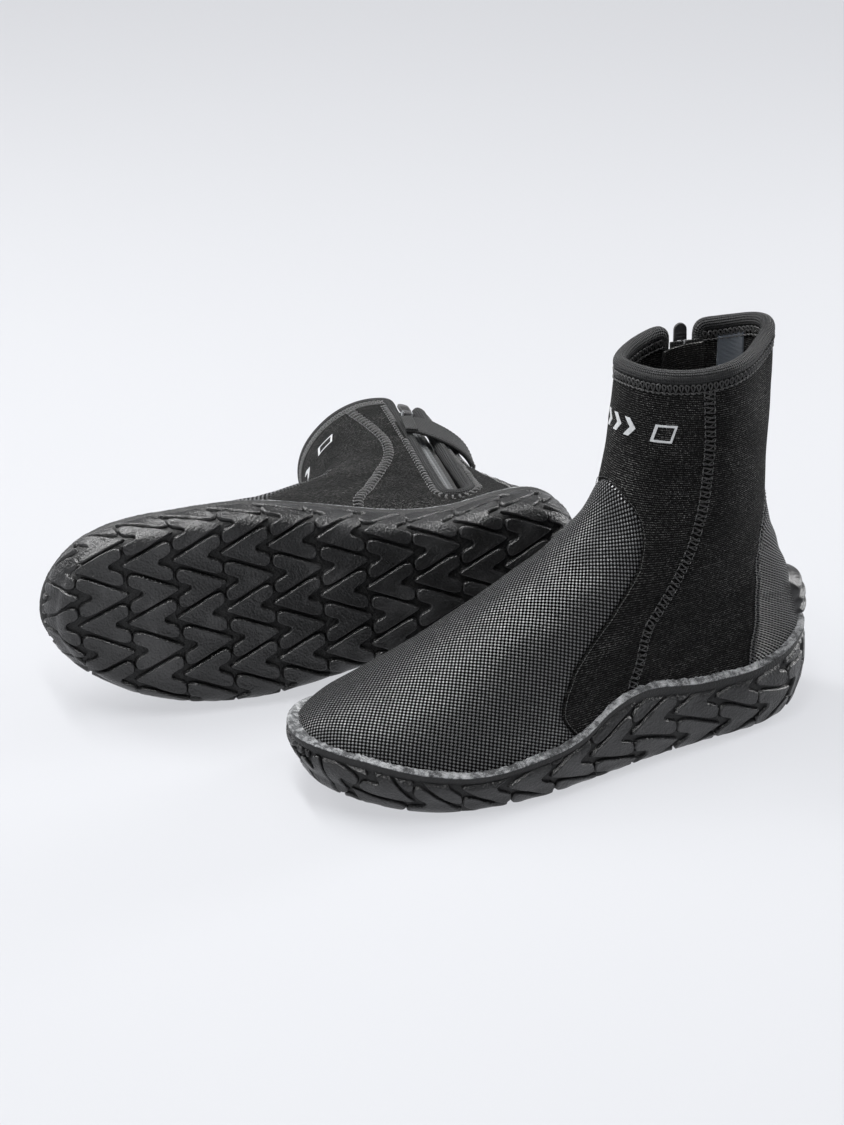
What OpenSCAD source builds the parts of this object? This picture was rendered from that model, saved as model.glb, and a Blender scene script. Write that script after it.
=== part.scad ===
// Pair of zipped neoprene boots: the left boot stands, the right boot lies on its lateral side.
// Each boot is drawn in its own frame: +Y to the toe, +Z up from the ground, +X to the medial side.
// A point on the upper is given by its angle (0 toe, 90 medial, 180 heel, -90 lateral) and its height.

/* [Upper] */
// Height of the shaft's top edge, under the rolled binding
shaft_h = 207; // [202:0.5:212]
// Thickness of the neoprene
neo = 5; // [4:0.5:5.5]
// Width left open between two sewn panels, in degrees about the boot
seam_gap = 0.8; // [0.6:0.1:1.2]

/* [Sole] */
// Height of the cup's floor above the ground
floor_z = 9; // [8.5:0.5:9.5]
// Height of the tread lugs
lug_h = 3; // [2.5:0.5:3.5]
// Spacing of the rows of lugs across the sole
lug_row = 15.6; // [15.2:0.2:16]
// Spacing of the lugs along a row
lug_len = 26; // [25:0.5:27]
// Rise of the toe off the ground
toe_rise = 13; // [10:1:14]
// Rise of the heel's back edge off the ground
heel_rise = 6; // [4:1:7]

/* [Zip] */
// Half-width of the slot cut in the medial panel at its lower end
slot_half = 11.9; // [11.6:0.1:12.2]
// Height of the zip's lower end
zip_z0 = 55; // [54:1:56]
// Height of the zip's upper end
zip_z1 = 206; // [200:1:206]
// Spacing of the teeth along one tape
tooth_pitch = 3; // [2.8:0.1:3.2]
// Radius of the hinge pin on the slider
pin_r = 0.8; // [0.7:0.1:0.9]
// Play between the pin and the pull tab's eye
pin_play = 0.06; // [0.03:0.01:0.09]

/* [Pair] */
// Turn of the lying boot about the vertical
lie_turn = -11; // [-12:0.5:-10]
// Roll of the lying boot, until its collar meets the ground
lie_roll = -5.7; // [-6.5:0.1:-5.5]
// Pitch of the lying boot
lie_pitch = -2.5; // [-3:0.5:-2]

/* [Hidden] */

// place of the pair in the row frame
row_x = 185.1; row_y = -123.9; lie_x = -90.5; lie_y = 73.5; lie_z = 67.3;

// sections of the upper by height: back, front, lateral and medial half widths, share of foot shape
ZK = [0, 10, 20, 30, 40, 50, 60, 70, 80, 90, 100, 110, 120, 130, 140, 155, 170, 190, 208, 225];
YB = [6.5, 2, 0, -1, -1.5, -0.5, 1, 4.5, 8, 12, 16, 20, 23, 24.5, 25, 25, 24.5, 24, 24, 23.5];
YF = [281, 291, 294, 292, 283, 265, 243, 223, 203, 183, 164, 148, 136, 127.5, 122.5, 119, 117, 115.5, 114, 113];
BL = [47, 52, 53, 52, 49, 46, 43.5, 41.5, 40, 39, 38, 37.5, 37, 37, 37, 37.3, 37.7, 38.3, 39, 39.5];
BM = [45, 50, 51, 50, 48, 45.5, 43, 41, 39.5, 38.5, 37.7, 37, 37, 37, 37, 37.3, 37.7, 38.3, 39, 39.5];
KF = [1, 1, 1, 1, 0.95, 0.85, 0.7, 0.54, 0.41, 0.29, 0.19, 0.11, 0.05, 0.01, 0, 0, 0, 0, 0, 0];
// a foot section's half width every 15 degrees from toe to heel, lateral and medial
FL = [0, 0.29, 0.57, 0.81, 0.96, 1, 0.905, 0.79, 0.735, 0.7, 0.575, 0.315, 0];
FM = [0, 0.43, 0.76, 0.94, 0.995, 0.985, 0.86, 0.72, 0.66, 0.665, 0.575, 0.35, 0];
FA = [for (i = [-1:13]) i * 15];
function mir(T) = concat([-T[1]], T, [-T[11]]);
FLM = mir(FL); FMM = mir(FM);

function clamp(x, a, b) = max(a, min(b, x));
function sstep(t) = let (u = clamp(t, 0, 1)) u * u * (3 - 2 * u);
function seg(x, xs, i = 0) = (i >= len(xs) - 2 || x < xs[i + 1]) ? i : seg(x, xs, i + 1);
function slo(xs, ys, i) = i == 0 ? (ys[1] - ys[0]) / (xs[1] - xs[0])
  : i == len(xs) - 1 ? (ys[i] - ys[i - 1]) / (xs[i] - xs[i - 1])
  : (ys[i + 1] - ys[i - 1]) / (xs[i + 1] - xs[i - 1]);
// smooth curve through a table
function cr(x0, xs, ys) = let (x = clamp(x0, xs[0], xs[len(xs) - 1]), i = seg(x, xs), h = xs[i + 1] - xs[i],
    t = (x - xs[i]) / h, t2 = t * t, t3 = t2 * t)
  (2 * t3 - 3 * t2 + 1) * ys[i] + (t3 - 2 * t2 + t) * h * slo(xs, ys, i)
  + (3 * t2 - 2 * t3) * ys[i + 1] + (t3 - t2) * h * slo(xs, ys, i + 1);
// straight line between the points of a table
function lin(x, xs, ys) = lookup(x, [for (i = [0:len(xs) - 1]) [xs[i], ys[i]]]);
function lift(y, z) = toe_rise * pow(clamp((y - 215) / 75, 0, 1.12), 2) * clamp(1 - z / 110, 0, 1)
  + heel_rise * pow(clamp((45 - y) / 45, 0, 1.2), 2) * clamp(1 - z / 25, 0, 1);
function wrap(f) = f < -180 ? f + 360 : f > 180 ? f - 360 : f;
// how far the soft shaft is spread: the lying boot's is a little wider
function spread(s, z) = let (t = sstep((z - 60) / 150)) 1 + (s > 0 ? -0.05 : 0.05) * t;
// the mouth stands higher behind and is cut lower at the front of the medial side
function hill(f, c, w) = exp(-pow(wrap(f - c) / w, 2));
function rise(f, z) = sstep((z - 140) / 65) * (10.5 * hill(f, 188, 44) - 6 * hill(f, 42, 42) + 2.5 * hill(f, -105, 26) - 1.5 * hill(f, -35, 30));
function P(s, f0, z) = let (f = wrap(f0), a = abs(f), yb = cr(z, ZK, YB), yf = cr(z, ZK, YF), k = cr(z, ZK, KF),
    q = spread(s, z), t = sstep((z - 60) / 150),
    b = f >= 0 ? cr(z, ZK, BM) : cr(z, ZK, BL),
    c = f >= 0 ? 1 - 0.17 * exp(-pow((a - 118) / 23, 2)) * (1 - sstep((z - 22) / 26))
      : 1 - (0.1 * t + 0.14 * sstep((z - 160) / 48)) * exp(-pow((a - 138) / 27, 2)) + 0.03 * t * exp(-pow((a - 75) / 30, 2)),
    w = b * q * c * (k * cr(a, FA, f >= 0 ? FMM : FLM) + (1 - k) * sin(a)),
    y = (yb + yf) / 2 + (yf - yb) / 2 * q * cos(a))
  [f >= 0 ? w : -w, y, z + lift(y, z) + rise(f, z)];
function nrm(s, f, z) = let (u = P(s, f + 0.5, z) - P(s, f - 0.5, z), zc = clamp(z, 0.6, 224.4),
    v = P(s, f, zc + 0.5) - P(s, f, zc - 0.5), n = cross(v, u)) n / norm(n);
function S(s, f, z, off) = P(s, f, z) + nrm(s, f, z) * off;
// angle at which the medial side has a given y
function f_of_y(s, y, z) = let (yb = cr(z, ZK, YB), yf = cr(z, ZK, YF))
  acos(clamp((y - (yb + yf) / 2) / ((yf - yb) / 2 * spread(s, z)), -1, 1));

// --- general solids ---
function quad(p, q, r, t) = [[p, q, r], [p, r, t]];
// a slab between an outer grid A and an inner grid B; M keeps or drops each cell
module slab(A, B, M = undef) {
  nv = len(A) - 1; nu = len(A[0]) - 1; n = (nv + 1) * (nu + 1);
  function a(i, j) = i * (nu + 1) + j;
  function b(i, j) = n + i * (nu + 1) + j;
  function k(i, j) = i >= 0 && i < nv && j >= 0 && j < nu && (M == undef || M[i][j] == 1);
  polyhedron(points = concat([for (r = A) for (p = r) p], [for (r = B) for (p = r) p]),
    faces = [for (i = [0:nv - 1]) for (j = [0:nu - 1]) if (k(i, j)) each concat(
      quad(a(i, j), a(i, j + 1), a(i + 1, j + 1), a(i + 1, j)),
      quad(b(i, j), b(i + 1, j), b(i + 1, j + 1), b(i, j + 1)),
      k(i - 1, j) ? [] : quad(a(i, j + 1), a(i, j), b(i, j), b(i, j + 1)),
      k(i + 1, j) ? [] : quad(a(i + 1, j), a(i + 1, j + 1), b(i + 1, j + 1), b(i + 1, j)),
      k(i, j - 1) ? [] : quad(a(i, j), a(i + 1, j), b(i + 1, j), b(i, j)),
      k(i, j + 1) ? [] : quad(a(i + 1, j + 1), a(i, j + 1), b(i, j + 1), b(i + 1, j + 1)))],
    convexity = 8);
}
// a tube through rings of points, closed on itself or capped
module loft(R, closed = false) {
  n = len(R); m = len(R[0]); last = closed ? n - 1 : n - 2;
  polyhedron(points = [for (r = R) for (p = r) p],
    faces = concat([for (k = [0:last]) for (j = [0:m - 1]) let (k2 = (k + 1) % n, j2 = (j + 1) % m)
        each quad(k * m + j, k * m + j2, k2 * m + j2, k2 * m + j)],
      closed ? [] : concat([for (j = [1:m - 2]) [0, j + 1, j]],
        [for (j = [1:m - 2]) [(n - 1) * m, (n - 1) * m + j, (n - 1) * m + j + 1]])),
    convexity = 8);
}
// rounded profile swept along points C with outward directions N
function sweep(C, N, w, h, m = 8) = [for (k = [0:len(C) - 1]) let (
    t0 = C[min(k + 1, len(C) - 1)] - C[max(k - 1, 0)], t = t0 / norm(t0),
    n0 = N[k] - t * (t * N[k]), nn = n0 / norm(n0), b = cross(t, nn))
  [for (j = [0:m - 1]) let (a = -360 * (j + 0.5) / m, e = pow(cos(45 - ((((a % 90) + 90) % 90))), -0.35))
    C[k] + nn * h / 2 * cos(a) * 1.08 + b * w / 2 * sin(a) * 1.08]];
// a sewn panel from rows of heights Z and a column rule given by F[i][j]
function skin(s, F, Z, off) = [for (i = [0:len(Z) - 1]) [for (f = F[i]) S(s, f, Z[i], off)]];
module panel(s, F, Z, M = undef, o = 0, t = neo) { slab(skin(s, F, Z, o), skin(s, F, Z, o - t), M); }
function steps(a, b, n) = [for (i = [0:n]) a + (b - a) * i / n];

module place(s) {
  if (s > 0) translate([row_x, row_y, 0]) rotate([0, 0, 90]) children();
  else translate([row_x + lie_x, row_y + lie_y, lie_z]) rotate([0, 0, lie_turn]) rotate([lie_roll, 0, 0])
    rotate([0, lie_pitch, 0]) multmatrix([[0, -1, 0, 0], [0, 0, 1, 0], [1, 0, 0, 0], [0, 0, 0, 1]]) children();
}

// --- lines between the panels ---
// edge of the vamp patch, by height
function f_vamp(z) = lin(z, [9, 26, 41, 63, 87, 109, 123, 132, 138, 143, 147], [92, 86, 78.5, 70, 66, 59, 50, 41, 32, 20, 4]);
// front seam, lateral and medial
function f_seam_l(z) = lin(z, [9, 30, 55, 78, 108, 135, 176, 212], [104, 99, 93, 86, 83, 80, 77, 71]);
function f_seam_m(z) = lin(z, [9, 30, 55, 80, 115, 150, 191, 212], [104, 101, 98, 96, 92, 85, 76, 72]);
// front edge of the heel patch, lateral and medial, closing over the top
function f_heel_l(z) = lin(z, [9, 28, 50, 98, 112, 122, 129, 133, 134], [134, 132, 131, 131, 137, 147, 160, 172, 179.6]);
function f_heel_m(z) = lin(z, [9, 60, 98, 110, 120, 128, 133, 134], [142, 144, 146, 150, 156, 165, 174, 179.6]);

// --- zip frame: x outward, y to the front, z up along the chain ---
function zip_y(s, z) = let (yt = P(s, s > 0 ? 106 : 119, zip_z1)[1]) 56 + (yt - 56) * (z - zip_z0) / (zip_z1 - zip_z0);
function on_zip(s, w, z, off = 0) = let (f = f_of_y(s, zip_y(s, z) + w * 0.95, z)) S(s, f, z, off);
function zip_f(s, w, z) = f_of_y(s, zip_y(s, z) + w * 0.95, z);
function zip_C(s) = on_zip(s, 0, zip_z0);
function zip_U(s) = let (d = on_zip(s, 0, zip_z1) - zip_C(s)) d / norm(d);
function zip_N(s) = let (a = s > 0 ? -9 : -17, n0 = [cos(a), sin(a), 0], u = zip_U(s), n = n0 - u * (n0 * u)) n / norm(n);
function zip_L(s) = norm(on_zip(s, 0, zip_z1) - zip_C(s));
module in_zip(s) {
  n = zip_N(s); u = zip_U(s); w = cross(u, n); c = zip_C(s);
  multmatrix([[n[0], w[0], u[0], c[0]], [n[1], w[1], u[1], c[1]], [n[2], w[2], u[2], c[2]], [0, 0, 0, 1]]) children();
}
// half-width of the slot by height: a round lower end, opening a little to the top
slot_c = 53;
function slot_d(z) = z < slot_c ? max(3, sqrt(max(0, slot_half * slot_half - (slot_c - z) * (slot_c - z))))
  : slot_half + 2 * (z - slot_c) / 154;
slot_z0 = slot_c - sqrt(slot_half * slot_half - 9);

// --- sole ---
function sole_off(z) = 4.5 - 5.5 * pow(clamp((8 - z) / 8, 0, 1), 2);
// a point of the sole's own surface: outline of the foot plus a margin, lifted at toe and heel
function Q(s, f, z, off) = let (p = S(s, f, max(z, 8), off)) [p[0], p[1], z + lift(p[1], z)];
// top edge of the cup by angle
EA = [0, 30, 50, 62, 75, 85, 92, 99, 115, 130, 142, 155, 180];
EL = [28, 28.5, 25, 23, 25.5, 30, 41, 44, 38, 37, 40, 45, 47];
EM = [28, 28.5, 26, 24, 24, 24.5, 25, 26, 26.5, 28, 32, 39, 47];
function edge_z(f) = let (a = wrap(f)) cr(abs(a), EA, a >= 0 ? EM : EL);

module outsole(s) color([0.09, 0.09, 0.095]) union() {
  ZL = [0:9:351];
  loft([for (f = ZL) let (e = edge_z(f)) [
    Q(s, f, 3, -3), Q(s, f, floor_z, -3), Q(s, f, floor_z + 0.1, 1.3), S(s, f, (floor_z + e) / 2, 1.3), S(s, f, e, 1.2),
    S(s, f, e, 2.3), S(s, f, e - 0.8, 3.1), Q(s, f, (9 + e) / 2, 4.3), Q(s, f, 8.5, 4.5), Q(s, f, 5.5, 4), Q(s, f, 3, 2.4)]], true);
  F = concat([3], steps(14, 166, 14), [177]);
  slab([for (f = F) [for (t = [1:-0.25:0]) let (p = Q(s, f, floor_z - 0.4, -1), q = Q(s, -f, floor_z - 0.4, -1)) p + (q - p) * t]],
    [for (f = F) [for (t = [1:-0.25:0]) let (p = Q(s, f, 3.5, -1), q = Q(s, -f, 3.5, -1)) p + (q - p) * t]]);
  intersection() {
    translate([0, 0, -2]) linear_extrude(40) polygon([for (f = [0:9:351]) let (p = S(s, f, 8, 2.1)) [p[0], p[1]]]);
    for (k = [-3:3]) for (m = [0:11]) let (yc = 4 + m * lug_len, d = k % 2 == 0 ? 1 : -1, z0 = (lift(yc + 12, 0) + lift(yc - 12, 0)) / 2,
        sl = (lift(yc + 12, 0) - lift(yc - 12, 0)) / 24)
      multmatrix([[1, 0, 0, k * lug_row], [0, d, 0, yc], [0, d * sl, 1, z0], [0, 0, 0, 1]])
        for (h = [-1, 1]) hull() linear_extrude(lug_h + 1)
          polygon([[h * -0.5, 11.6], [h * 0.5, 11.6], [h * 10.5, -7.2], [h * 9.6, -11.2], [h * -0.5, -5.4]]);
  }
}
module edge_bond_band(s) color([0.55, 0.56, 0.57])
  loft([for (f = [0:9:351]) let (e = edge_z(f)) [S(s, f, e + 0.4, 1.2), S(s, f, e + 3.8, 1.1), S(s, f, e + 3.6, 1.7), S(s, f, e + 0.4, 2.2)]], true);

module plate(s, z0, z1, off, n = 16) {
  F = concat([4], steps(12, 168, n), [176]);
  function row(f, z) = [for (t = [1:-0.25:0]) let (p = Q(s, f, z, off), q = Q(s, -f, z, off)) p + (q - p) * t];
  slab([for (f = F) row(f, z1)], [for (f = F) row(f, z0)]);
}
module midsole_board(s) color([0.25, 0.25, 0.26]) plate(s, floor_z + 0.1, floor_z + 2.4, -7.5);
module footbed(s) color([0.16, 0.16, 0.17]) plate(s, floor_z + 2.5, floor_z + 6.4, -7.5);

// --- upper ---
u0 = 9.4;
module vamp_panel(s) color([0.2, 0.2, 0.21]) {
  Z = [u0, 20, 32, 43, 53, 63, 75, 87, 98, 109, 118, 126, 132, 138, 143, 145.4];
  panel(s, [for (z = Z) let (w = f_vamp(z) - seam_gap / 2 - (z > 135 ? 0.8 : 0)) [for (t = steps(-1, 1, 14)) w * t]], Z);
}
module front_panel(s) color([0.12, 0.12, 0.125]) {
  Z = [u0, 20, 32, 43, 53, 63, 75, 87, 98, 109, 118, 126, 132, 138, 143, 147.6, 156, 166, 177, 190, shaft_h];
  F = [for (z = Z) let (l = -f_seam_l(z) + seam_gap / 2, r = f_seam_m(z) - seam_gap / 2,
      v = (z < 147.5 ? f_vamp(z) : 4 + 30 * sstep((z - 147) / 30)) + seam_gap / 2)
    concat(steps(l, -v, 4), steps(-v / 2, v, 3), steps(v + (r - v) / 4, r, 3))];
  M = [for (i = [0:len(Z) - 2]) [for (j = [0:len(F[0]) - 2]) (Z[i] < 147 && j >= 4 && j < 8) ? 0 : 1]];
  panel(s, F, Z, M);
}
module lateral_quarter(s) color([0.12, 0.12, 0.125]) {
  Z = [u0, 28, 42, 55, 70, 84, 98, 105, 112, 117, 122, 129, 133, 134.4, 148, 164, 184, shaft_h];
  panel(s, [for (z = Z) steps(-(z > 134.2 ? 179.6 : f_heel_l(z) - seam_gap / 2), -f_seam_l(z) - seam_gap / 2, 8)], Z);
}
module medial_quarter(s) color([0.12, 0.12, 0.125]) {
  Z = [u0, 19, 30, slot_z0, 41.9, 43.5, 46.5, 52, 60, 75, 88, 98, 104, 110, 115, 120, 128, 133, 134.4, 146, 160, 176, 192, shaft_h];
  F = [for (z = Z) let (d = slot_d(z), a = f_seam_m(z) + seam_gap / 2, b = zip_f(s, d, z), c = zip_f(s, -d, z),
      e = z > 134.2 ? 179.6 : f_heel_m(z) - seam_gap / 2)
    concat(steps(a, b, 3), steps(b + (c - b) / 2, c, 1), steps(c + (e - c) / 3, e, 2))];
  M = [for (i = [0:len(Z) - 2]) [for (j = [0:len(F[0]) - 2]) (Z[i] > slot_z0 - 0.1 && j >= 3 && j < 5) ? 0 : 1]];
  panel(s, F, Z, M);
}
module heel_counter(s) color([0.2, 0.2, 0.21]) {
  Z = [u0, 28, 42, 55, 70, 84, 98, 105, 112, 117, 122, 129, 133];
  panel(s, [for (z = Z) steps(f_heel_m(z) + seam_gap / 2, 360 - f_heel_l(z) - seam_gap / 2, 8)], Z);
}
// ribbed block behind the heel that keeps a fin strap up
module fin_strap_stop(s) color([0.1, 0.1, 0.105]) {
  Z = [52.5, 53.5, 55, 56.5, 57.5, 59.5, 61, 62, 64, 66, 67, 69, 71, 73.5, 75];
  H = [0.6, 5, 6.6, 6.6, 4.8, 4.8, 7, 7, 5.2, 5.2, 7, 7, 5, 2.4, 0.8];
  F = steps(160, 200, 6);
  slab([for (i = [0:len(Z) - 1]) [for (f = F) S(s, f, Z[i], 0.5 + H[i] * (0.35 + 0.65 * pow(max(0, cos((f - 180) * 4.2)), 0.6)))]],
    [for (z = Z) [for (f = F) S(s, f, z, 0.4)]]);
}
module collar_binding(s) color([0.17, 0.17, 0.175]) {
  f0 = zip_f(s, 6.6, shaft_h); f1 = zip_f(s, -6.6, shaft_h) - 360;
  F = steps(f0, f1, 40);
  loft(sweep([for (f = F) S(s, f, shaft_h + 4.15, -neo / 2)], [for (f = F) nrm(s, f, shaft_h)], 7.2, 7.6));
}
// rolled edge round the zip's slot
module slot_binding(s) color([0.17, 0.17, 0.175]) {
  r = slot_half - 3.4; zt = shaft_h - 0.3;
  A = concat([for (z = steps(zt, slot_c, 11)) [r + 2 * (z - slot_c) / 154, z]],
    [for (a = steps(15, 165, 8)) [r * cos(a), slot_c - r * sin(a)]],
    [for (z = steps(slot_c, zt, 11)) [-r - 2 * (z - slot_c) / 154, z]]);
  loft(sweep([for (p = A) on_zip(s, p[0], p[1], -1.5)], [for (p = A) nrm(s, zip_f(s, p[0], p[1]), p[1])], 5.4, 6.4));
}

// --- zip ---
zh = -8.3; // height of the tape's underside in the zip frame
za = zh + 7.2;
module zip_tapes(s) color([0.08, 0.08, 0.085]) in_zip(s) for (k = [-1, 1])
  translate([zh, k > 0 ? 0.55 : -8, -4]) cube([0.8, 7.45, zip_L(s) + 3]);
module zip_teeth(s, k) color([0.42, 0.43, 0.44]) in_zip(s)
  for (i = [0:floor((zip_L(s) - 10) / tooth_pitch)]) translate([zh + 0.8, k > 0 ? 0.55 : -2.75, 2 + i * tooth_pitch + (k > 0 ? tooth_pitch / 2 : 0)])
    cube([2.4, 2.2, 1.5]);
module zip_teeth_front(s) zip_teeth(s, 1);
module zip_teeth_rear(s) zip_teeth(s, -1);
module zip_stops(s) color([0.3, 0.3, 0.31]) in_zip(s) {
  translate([zh + 0.8, -3, -2.5]) cube([2.4, 6, 3]);
  for (k = [-1, 1]) translate([zh + 0.8, k > 0 ? 0.6 : -3, zip_L(s) - 4.5]) cube([2.6, 2.4, 3]);
}
module zip_gusset(s) color([0.11, 0.11, 0.115]) {
  Z = steps(50, 190, 12);
  panel(s, [for (z = Z) steps(zip_f(s, 13, z), zip_f(s, -13, z), 5)], Z, undef, s > 0 ? -13.6 : -12.2, 1.6);
}
// slider: plates above and below the tapes on a thin web, with a lug and pin for the pull tab
zs = 193 - zip_z0; // the slider's middle at rest, along the chain
module zip_slider(s) color([0.5, 0.51, 0.52]) in_zip(s) translate([za, 0, zs]) {
  difference() {
    union() {
      translate([-3.8, -4.6, -5]) cube([1.2, 9.2, 10]);
      translate([-8.7, -4.4, -5]) cube([1.3, 8.8, 10]);
      translate([-8.1, -0.3, -4]) cube([4.4, 0.6, 8]);
      for (k = [-1, 1]) translate([-5.4, k > 0 ? 3.2 : -4.6, -5]) cube([2, 1.4, 10]);
      for (k = [-1, 1]) translate([-2.8, k > 0 ? 2.4 : -3.4, 0.4]) cube([3.2, 1, 3.6]);
    }
    translate([-0.9, 0, 2.2]) rotate([90, 0, 0]) cylinder(r = pin_r, h = 12, center = true, $fn = 32);
  }
  translate([-0.9, 0, 2.2]) rotate([90, 0, 0]) cylinder(r = pin_r, h = 6.8, center = true, $fn = 32);
}
module zip_pull_tab(s) color([0.13, 0.13, 0.135]) in_zip(s) translate([za - 0.9, 0, zs + 2.2]) difference() {
  union() {
    rotate([90, 0, 0]) cylinder(r = 1.55, h = 4.4, center = true, $fn = 32);
    translate([-0.7, -2.2, 0]) cube([1.4, 4.4, 4]);
    translate([-0.7, -3.6, 3.5]) cube([1.4, 7.2, 10.5]);
    translate([0, 0, 14]) rotate([0, 90, 0]) cylinder(r = 3.6, h = 1.4, center = true, $fn = 32);
  }
  rotate([90, 0, 0]) cylinder(r = pin_r + pin_play, h = 6, center = true, $fn = 32);
}

// --- keeper strap: sewn at the front of the zip, crossing it, its free end behind ---
function strap_f(s, t) = zip_f(s, 12.5, 150) + (163 - zip_f(s, 12.5, 150)) * t;
function strap_c(t) = 151 - 9 * t * t;
function strap_o(s, t) = 2.6 + 1.3 * sin(min(1, t * 2.2) * 180) + (s > 0 ? 2 : 5) * t * t;
function strap_tilt(s, t) = s > 0 ? 0 : 2 * sstep(3 * t);
module strap_slab(s, t0, t1, n, w, o0, o1) {
  T = steps(t0, t1, n);
  slab([for (v = [-1, -0.5, 0, 0.5, 1]) [for (t = T) let (r = 12 * (t > 0.93 ? 1 - 0.3 * (t - 0.93) / 0.07 : 1) * w) S(s, strap_f(s, t), strap_c(t) + v * r, strap_o(s, t) + strap_tilt(s, t) * v * w + o1)]],
    [for (v = [-1, -0.5, 0, 0.5, 1]) [for (t = T) let (r = 12 * (t > 0.93 ? 1 - 0.3 * (t - 0.93) / 0.07 : 1) * w) S(s, strap_f(s, t), strap_c(t) + v * r, strap_o(s, t) + strap_tilt(s, t) * v * w + o0)]]);
}
module keeper_strap(s) color([0.15, 0.15, 0.155]) strap_slab(s, 0, 1, 16, 1, 0, 2);
module strap_hook_pad(s) color([0.1, 0.1, 0.1]) strap_slab(s, 0.62, 0.94, 5, 0.85, -1.2, -0.05);
module strap_loop_pad(s) color([0.1, 0.1, 0.1]) {
  Z = steps(127, 157, 5);
  panel(s, [for (z = Z) steps(zip_f(s, -18, 150), 170, 6)], Z, undef, 1.1, 1);
}
module collar_label(s) color([0.45, 0.49, 0.55]) {
  Z = steps(186, 204, 3);
  panel(s, [for (z = Z) steps(137, 161, 3)], Z, undef, -neo - 0.7, 0.6);
}

place(1) outsole(1);  // left_outsole
place(1) edge_bond_band(1);  // left_edge_bond_band
place(1) midsole_board(1);  // left_midsole_board
place(1) footbed(1);  // left_footbed
place(1) vamp_panel(1);  // left_vamp_panel
place(1) front_panel(1);  // left_front_panel
place(1) lateral_quarter(1);  // left_lateral_quarter
place(1) medial_quarter(1);  // left_medial_quarter
place(1) heel_counter(1);  // left_heel_counter
place(1) fin_strap_stop(1);  // left_fin_strap_stop
place(1) collar_binding(1);  // left_collar_binding
place(1) slot_binding(1);  // left_slot_binding
place(1) zip_tapes(1);  // left_zip_tapes
place(1) zip_teeth_front(1);  // left_zip_teeth_front
place(1) zip_teeth_rear(1);  // left_zip_teeth_rear
place(1) zip_stops(1);  // left_zip_stops
place(1) zip_gusset(1);  // left_zip_gusset
place(1) zip_slider(1);  // left_zip_slider
place(1) zip_pull_tab(1);  // left_zip_pull_tab
place(1) keeper_strap(1);  // left_keeper_strap
place(1) strap_hook_pad(1);  // left_strap_hook_pad
place(1) strap_loop_pad(1);  // left_strap_loop_pad
place(1) collar_label(1);  // left_collar_label
place(-1) outsole(-1);  // right_outsole
place(-1) edge_bond_band(-1);  // right_edge_bond_band
place(-1) midsole_board(-1);  // right_midsole_board
place(-1) footbed(-1);  // right_footbed
place(-1) vamp_panel(-1);  // right_vamp_panel
place(-1) front_panel(-1);  // right_front_panel
place(-1) lateral_quarter(-1);  // right_lateral_quarter
place(-1) medial_quarter(-1);  // right_medial_quarter
place(-1) heel_counter(-1);  // right_heel_counter
place(-1) fin_strap_stop(-1);  // right_fin_strap_stop
place(-1) collar_binding(-1);  // right_collar_binding
place(-1) slot_binding(-1);  // right_slot_binding
place(-1) zip_tapes(-1);  // right_zip_tapes
place(-1) zip_teeth_front(-1);  // right_zip_teeth_front
place(-1) zip_teeth_rear(-1);  // right_zip_teeth_rear
place(-1) zip_stops(-1);  // right_zip_stops
place(-1) zip_gusset(-1);  // right_zip_gusset
place(-1) zip_slider(-1);  // right_zip_slider
place(-1) zip_pull_tab(-1);  // right_zip_pull_tab
place(-1) keeper_strap(-1);  // right_keeper_strap
place(-1) strap_hook_pad(-1);  // right_strap_hook_pad
place(-1) strap_loop_pad(-1);  // right_strap_loop_pad
place(-1) collar_label(-1);  // right_collar_label
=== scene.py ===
import bpy, math
import numpy as np
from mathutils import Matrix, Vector


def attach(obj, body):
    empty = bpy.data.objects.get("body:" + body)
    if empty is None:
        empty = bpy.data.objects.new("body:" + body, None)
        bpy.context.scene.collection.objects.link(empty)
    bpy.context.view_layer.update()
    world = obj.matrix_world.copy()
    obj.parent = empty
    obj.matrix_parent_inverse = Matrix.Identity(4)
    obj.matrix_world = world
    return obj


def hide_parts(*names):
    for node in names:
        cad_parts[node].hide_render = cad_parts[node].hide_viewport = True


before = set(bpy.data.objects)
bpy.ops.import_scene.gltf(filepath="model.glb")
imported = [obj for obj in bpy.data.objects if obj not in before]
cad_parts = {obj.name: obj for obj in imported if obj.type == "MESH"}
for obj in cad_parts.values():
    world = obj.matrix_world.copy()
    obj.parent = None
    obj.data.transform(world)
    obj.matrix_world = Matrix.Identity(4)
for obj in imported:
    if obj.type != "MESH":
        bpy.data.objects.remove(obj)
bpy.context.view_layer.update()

sc = bpy.context.scene

# ---------------------------------------------------------------- boot surface (mm, boot frame)
SHAFT_H = 207.0
SLOT, SLOT_C, ZZ0, ZZ1 = 11.9, 53.0, 55.0, 206.0
TOE, HEEL = 13.0, 6.0
ZK = [0, 10, 20, 30, 40, 50, 60, 70, 80, 90, 100, 110, 120, 130, 140, 155, 170, 190, 208, 225]
YB = [6.5, 2, 0, -1, -1.5, -0.5, 1, 4.5, 8, 12, 16, 20, 23, 24.5, 25, 25, 24.5, 24, 24, 23.5]
YF = [281, 291, 294, 292, 283, 265, 243, 223, 203, 183, 164, 148, 136, 127.5, 122.5, 119, 117, 115.5, 114, 113]
BL = [47, 52, 53, 52, 49, 46, 43.5, 41.5, 40, 39, 38, 37.5, 37, 37, 37, 37.3, 37.7, 38.3, 39, 39.5]
BM = [45, 50, 51, 50, 48, 45.5, 43, 41, 39.5, 38.5, 37.7, 37, 37, 37, 37, 37.3, 37.7, 38.3, 39, 39.5]
KF = [1, 1, 1, 1, .95, .85, .7, .54, .41, .29, .19, .11, .05, .01, 0, 0, 0, 0, 0, 0]
FL = [0, .29, .57, .81, .96, 1.0, .905, .79, .735, .70, .575, .315, 0]
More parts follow.
